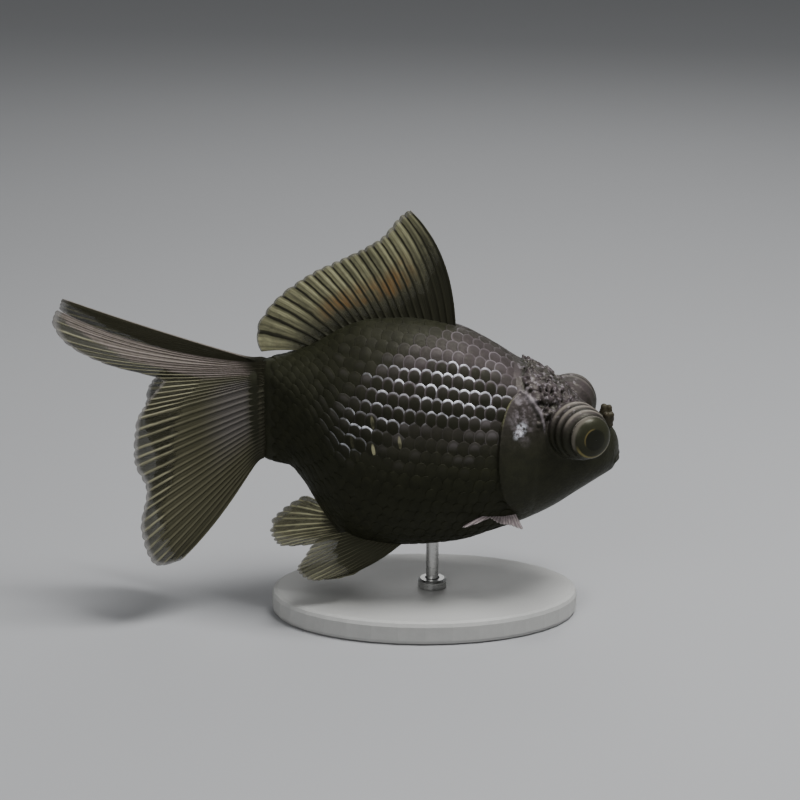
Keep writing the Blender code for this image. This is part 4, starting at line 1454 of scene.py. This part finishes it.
class GoldfishStage(bpy.types.PropertyGroup):
    """The camera, the lights and the floor."""

    elevation: bpy.props.FloatProperty(
        name="Camera Elevation",
        description="How far the camera looks down",
        default=math.radians(17),
        subtype="ANGLE",
        unit="ROTATION",
    )
    distance: length_prop("Camera Distance", "From the camera to what it looks at", 0.6)
    focal: bpy.props.FloatProperty(
        name="Focal Length", description="Of the lens, in millimetres", default=108.0, min=1.0
    )
    floor: colour_prop("Floor", "The floor's colour", (0.30, 0.303, 0.31))
    key_power: bpy.props.FloatProperty(
        name="Key Light", description="Power of the light over the fish, in watts", default=7.6, min=0.0
    )


# -------------------- Operators --------------------

# The nodes that the one skin stands for
SKIN_NODES = (
    "head", "trunk", "tail_stem", "gill_cover_left", "gill_cover_right", "eye_stalk_left",
    "eye_stalk_right", "lip_upper", "lip_lower", "nostril_flap_left", "nostril_flap_right",
)

# Each light: its place from the middle of the model, its size, and its share of the key's power
LIGHTS = {
    "key_light": ((0.26, -0.10, 0.60), 0.26, 1.0),
    "fill_light": ((-0.35, -0.75, 0.40), 0.60, 0.35),
    "back_light": ((0.10, 0.60, 0.45), 0.45, 0.15),
}
SKY_COLOUR = (0.86, 0.88, 0.90, 1.0)
SKY_STRENGTH = 0.24
CAMERA_AIM = Vector((-0.00625, 0.0, 0.0559))
FLOOR_RADIUS = 4.0
FLOOR_SIDES = 64

SMALL_FINS = {
    "pectoral": (PECTORAL, PECTORAL_PAINT, PECTORAL_FINISH),
    "pelvic": (PELVIC, PELVIC_PAINT, PELVIC_FINISH),
    "anal": (ANAL, ANAL_PAINT, ANAL_FINISH),
}


class GOLDFISH_OT_skin(bpy.types.Operator):
    """Make the one skin of the head, trunk and tail stem"""

    bl_idname = "goldfish.skin"
    bl_label = "Make Skin"

    def execute(self, context):
        mesh = skin_mesh(context.scene.goldfish_sizes)
        if len(mesh.vertices) == 0:
            raise RuntimeError("the skin came out empty")
        material = skin_material(context.scene.goldfish_colours)
        put("goldfish_skin", mesh, material, "bare_skin", *SKIN_NODES)
        return {"FINISHED"}


class GOLDFISH_OT_scales(bpy.types.Operator):
    """Lay the rows of scales over the trunk and the tail stem"""

    bl_idname = "goldfish.scales"
    bl_label = "Lay Scales"

    def execute(self, context):
        sizes = context.scene.goldfish_sizes
        flank = Flank(sizes.row_height)
        material = scale_material(context.scene.goldfish_colours)
        for side, word in SIDES:
            name = f"scales_{word}"
            put(name, scales_mesh(name, side, flank, sizes), material, "scaled_skin")
        return {"FINISHED"}


class GOLDFISH_OT_eyes(bpy.types.Operator):
    """Make the two eyes"""

    bl_idname = "goldfish.eyes"
    bl_label = "Make Eyes"

    def execute(self, context):
        sizes = context.scene.goldfish_sizes
        radius, height = sizes.cornea_radius, sizes.cornea_height
        material = eye_material(context.scene.goldfish_colours, radius)
        tip, foot = 0.00002, -0.0008
        dome = [(height * math.sin(a), radius * math.cos(a)) for a in np.linspace(math.pi / 2, 0, 24)]
        profile = [(height, tip), *dome[1:], (foot, radius * 0.97), (foot, tip)]
        points, faces = turned(profile, 72, Matrix.Identity(4))
        for side, word in SIDES:
            mesh = mesh_of(f"cornea_{word}", points, faces)
            give(mesh, eye_ahead=points[:, 0] * -side / radius, eye_up=points[:, 1] / radius)
            place = stalk_frame(side) @ Matrix.Translation((0, 0, sizes.stalk_length))
            put(f"cornea_{word}", mesh, material, "eye", f"eye_{word}", place=place)
        return {"FINISHED"}


class GOLDFISH_OT_dorsal_fin(bpy.types.Operator):
    """Make the tall fin of the back"""

    bl_idname = "goldfish.dorsal_fin"
    bl_label = "Make Dorsal Fin"

    def execute(self, context):
        mesh = fin_mesh("dorsal_fin_rayed", DORSAL, DORSAL_FINISH, 1, DORSAL_SEED)
        put("dorsal_fin_rayed", mesh, fin_material(DORSAL_PAINT), "fin", "dorsal_fin")
        return {"FINISHED"}


class GOLDFISH_OT_tail(bpy.types.Operator):
    """Make the two halves of the tail, each with an upper and a lower lobe"""

    bl_idname = "goldfish.tail"
    bl_label = "Make Tail"

    def execute(self, context):
        material = fin_material(TAIL_PAINT)
        for side, word in SIDES:
            name = f"tail_{word}_rayed"
            mesh = fin_mesh(name, TAIL, TAIL_FINISH, side, TAIL_SEED + side)
            put(name, mesh, material, "fin", f"tail_upper_lobe_{word}", f"tail_lower_lobe_{word}")
        return {"FINISHED"}


class GOLDFISH_OT_small_fins(bpy.types.Operator):
    """Make the pectoral, pelvic and anal fins"""

    bl_idname = "goldfish.small_fins"
    bl_label = "Make Small Fins"

    def execute(self, context):
        for kind, (fan, look, finish) in SMALL_FINS.items():
            material = fin_material(look)
            for side, word in SIDES:
                name = f"{kind}_{word}_rayed"
                mesh = fin_mesh(name, fan, finish, side, SMALL_FIN_SEED + side)
                put(name, mesh, material, "fin", f"{kind}_fin_{word}")
        return {"FINISHED"}


class GOLDFISH_OT_stand(bpy.types.Operator):
    """Give the stand's solids their paint and steel"""

    bl_idname = "goldfish.stand"
    bl_label = "Finish Stand"

    def execute(self, context):
        for name, material in stand_materials().items():
            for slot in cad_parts[name].material_slots:
                slot.material = material
        return {"FINISHED"}


def make_floor(tint):
    """A wide flat disc under the model, of the stage."""
    material, tree, shader = new_material("studio_floor")
    surface(shader, blend(noise(tree, 6.0, 2.0), tint, faded(tint, 0.97)), 0.9)
    angle = np.arange(FLOOR_SIDES) * 2 * np.pi / FLOOR_SIDES
    rim = np.stack([FLOOR_RADIUS * np.cos(angle), FLOOR_RADIUS * np.sin(angle), 0 * angle], axis=-1)
    mesh = mesh_of("studio_floor", rim, [range(FLOOR_SIDES)])
    floor = in_scene("studio_floor", mesh, material)


def look_from(name, data, place, target):
    """Puts a light or a camera in the scene, turned to what it looks at."""
    made = in_scene(name, data)
    made.location = place
    made.rotation_euler = (target - place).to_track_quat("-Z", "Y").to_euler()
    return made


class GOLDFISH_OT_stage(bpy.types.Operator):
    """Set up the floor, the lights and the camera"""

    bl_idname = "goldfish.stage"
    bl_label = "Set Stage"

    def execute(self, context):
        setup, scene = context.scene.goldfish_stage, context.scene
        make_floor(setup.floor)
        scene.world = bpy.data.worlds.new("studio_air")
        scene.world.use_nodes = True
        sky = scene.world.node_tree.nodes["Background"]
        sky.inputs["Color"].default_value = SKY_COLOUR
        sky.inputs["Strength"].default_value = SKY_STRENGTH
        middle = (Vector(CAD_BOX[0]) + Vector(CAD_BOX[1])) / 2
        for name, (offset, size, share) in LIGHTS.items():
            light = bpy.data.lights.new(name, "AREA")
            light.shape = "SQUARE"
            light.size = size
            light.energy = setup.key_power * share
            look_from(name, light, middle + Vector(offset), middle)
        camera = bpy.data.cameras.new("studio_camera")
        camera.lens = setup.focal
        camera.sensor_width = 36.0
        camera.clip_start = 0.01
        away = Vector((0.0, -math.cos(setup.elevation), math.sin(setup.elevation)))
        place = CAMERA_AIM + away * setup.distance
        scene.camera = look_from("studio_camera", camera, place, CAMERA_AIM)
        return {"FINISHED"}


STEPS = (
    GOLDFISH_OT_stage,
    GOLDFISH_OT_skin,
    GOLDFISH_OT_scales,
    GOLDFISH_OT_eyes,
    GOLDFISH_OT_dorsal_fin,
    GOLDFISH_OT_tail,
    GOLDFISH_OT_small_fins,
    GOLDFISH_OT_stand,
)
GROUPS = {
    "goldfish_sizes": GoldfishSizes,
    "goldfish_colours": GoldfishColours,
    "goldfish_stage": GoldfishStage,
}


class GOLDFISH_PT_panel(bpy.types.Panel):
    """The fish's pieces and sizes"""

    bl_label = "Goldfish"
    bl_idname = "GOLDFISH_PT_panel"
    bl_space_type = "VIEW_3D"
    bl_region_type = "UI"
    bl_category = "Goldfish"

    def draw(self, context):
        for step in STEPS:
            self.layout.operator(step.bl_idname)
        for name in GROUPS:
            group = getattr(context.scene, name)
            box = self.layout.box()
            for value in group.__annotations__:
                box.prop(group, value)


def register():
    """Adds the settings, the operators and the panel to Blender."""
    for name, group in GROUPS.items():
        bpy.utils.register_class(group)
        setattr(bpy.types.Scene, name, bpy.props.PointerProperty(type=group))
    for kind in (*STEPS, GOLDFISH_PT_panel):
        bpy.utils.register_class(kind)


def unregister():
    """Takes them out again."""
    for kind in reversed((*STEPS, GOLDFISH_PT_panel)):
        bpy.utils.unregister_class(kind)
    for name, group in reversed(GROUPS.items()):
        delattr(bpy.types.Scene, name)
        bpy.utils.unregister_class(group)


def plain(box):
    """A box's corners as plain lists."""
    return [[float(v) for v in corner] for corner in box]


def main():
    """Makes the whole model."""
    register()
    bpy.ops.goldfish.stage()
    bpy.ops.goldfish.skin()
    bpy.ops.goldfish.scales()
    bpy.ops.goldfish.eyes()
    bpy.ops.goldfish.dorsal_fin()
    bpy.ops.goldfish.tail()
    bpy.ops.goldfish.small_fins()
    bpy.ops.goldfish.stand()


if __name__ == "__main__":
    main()
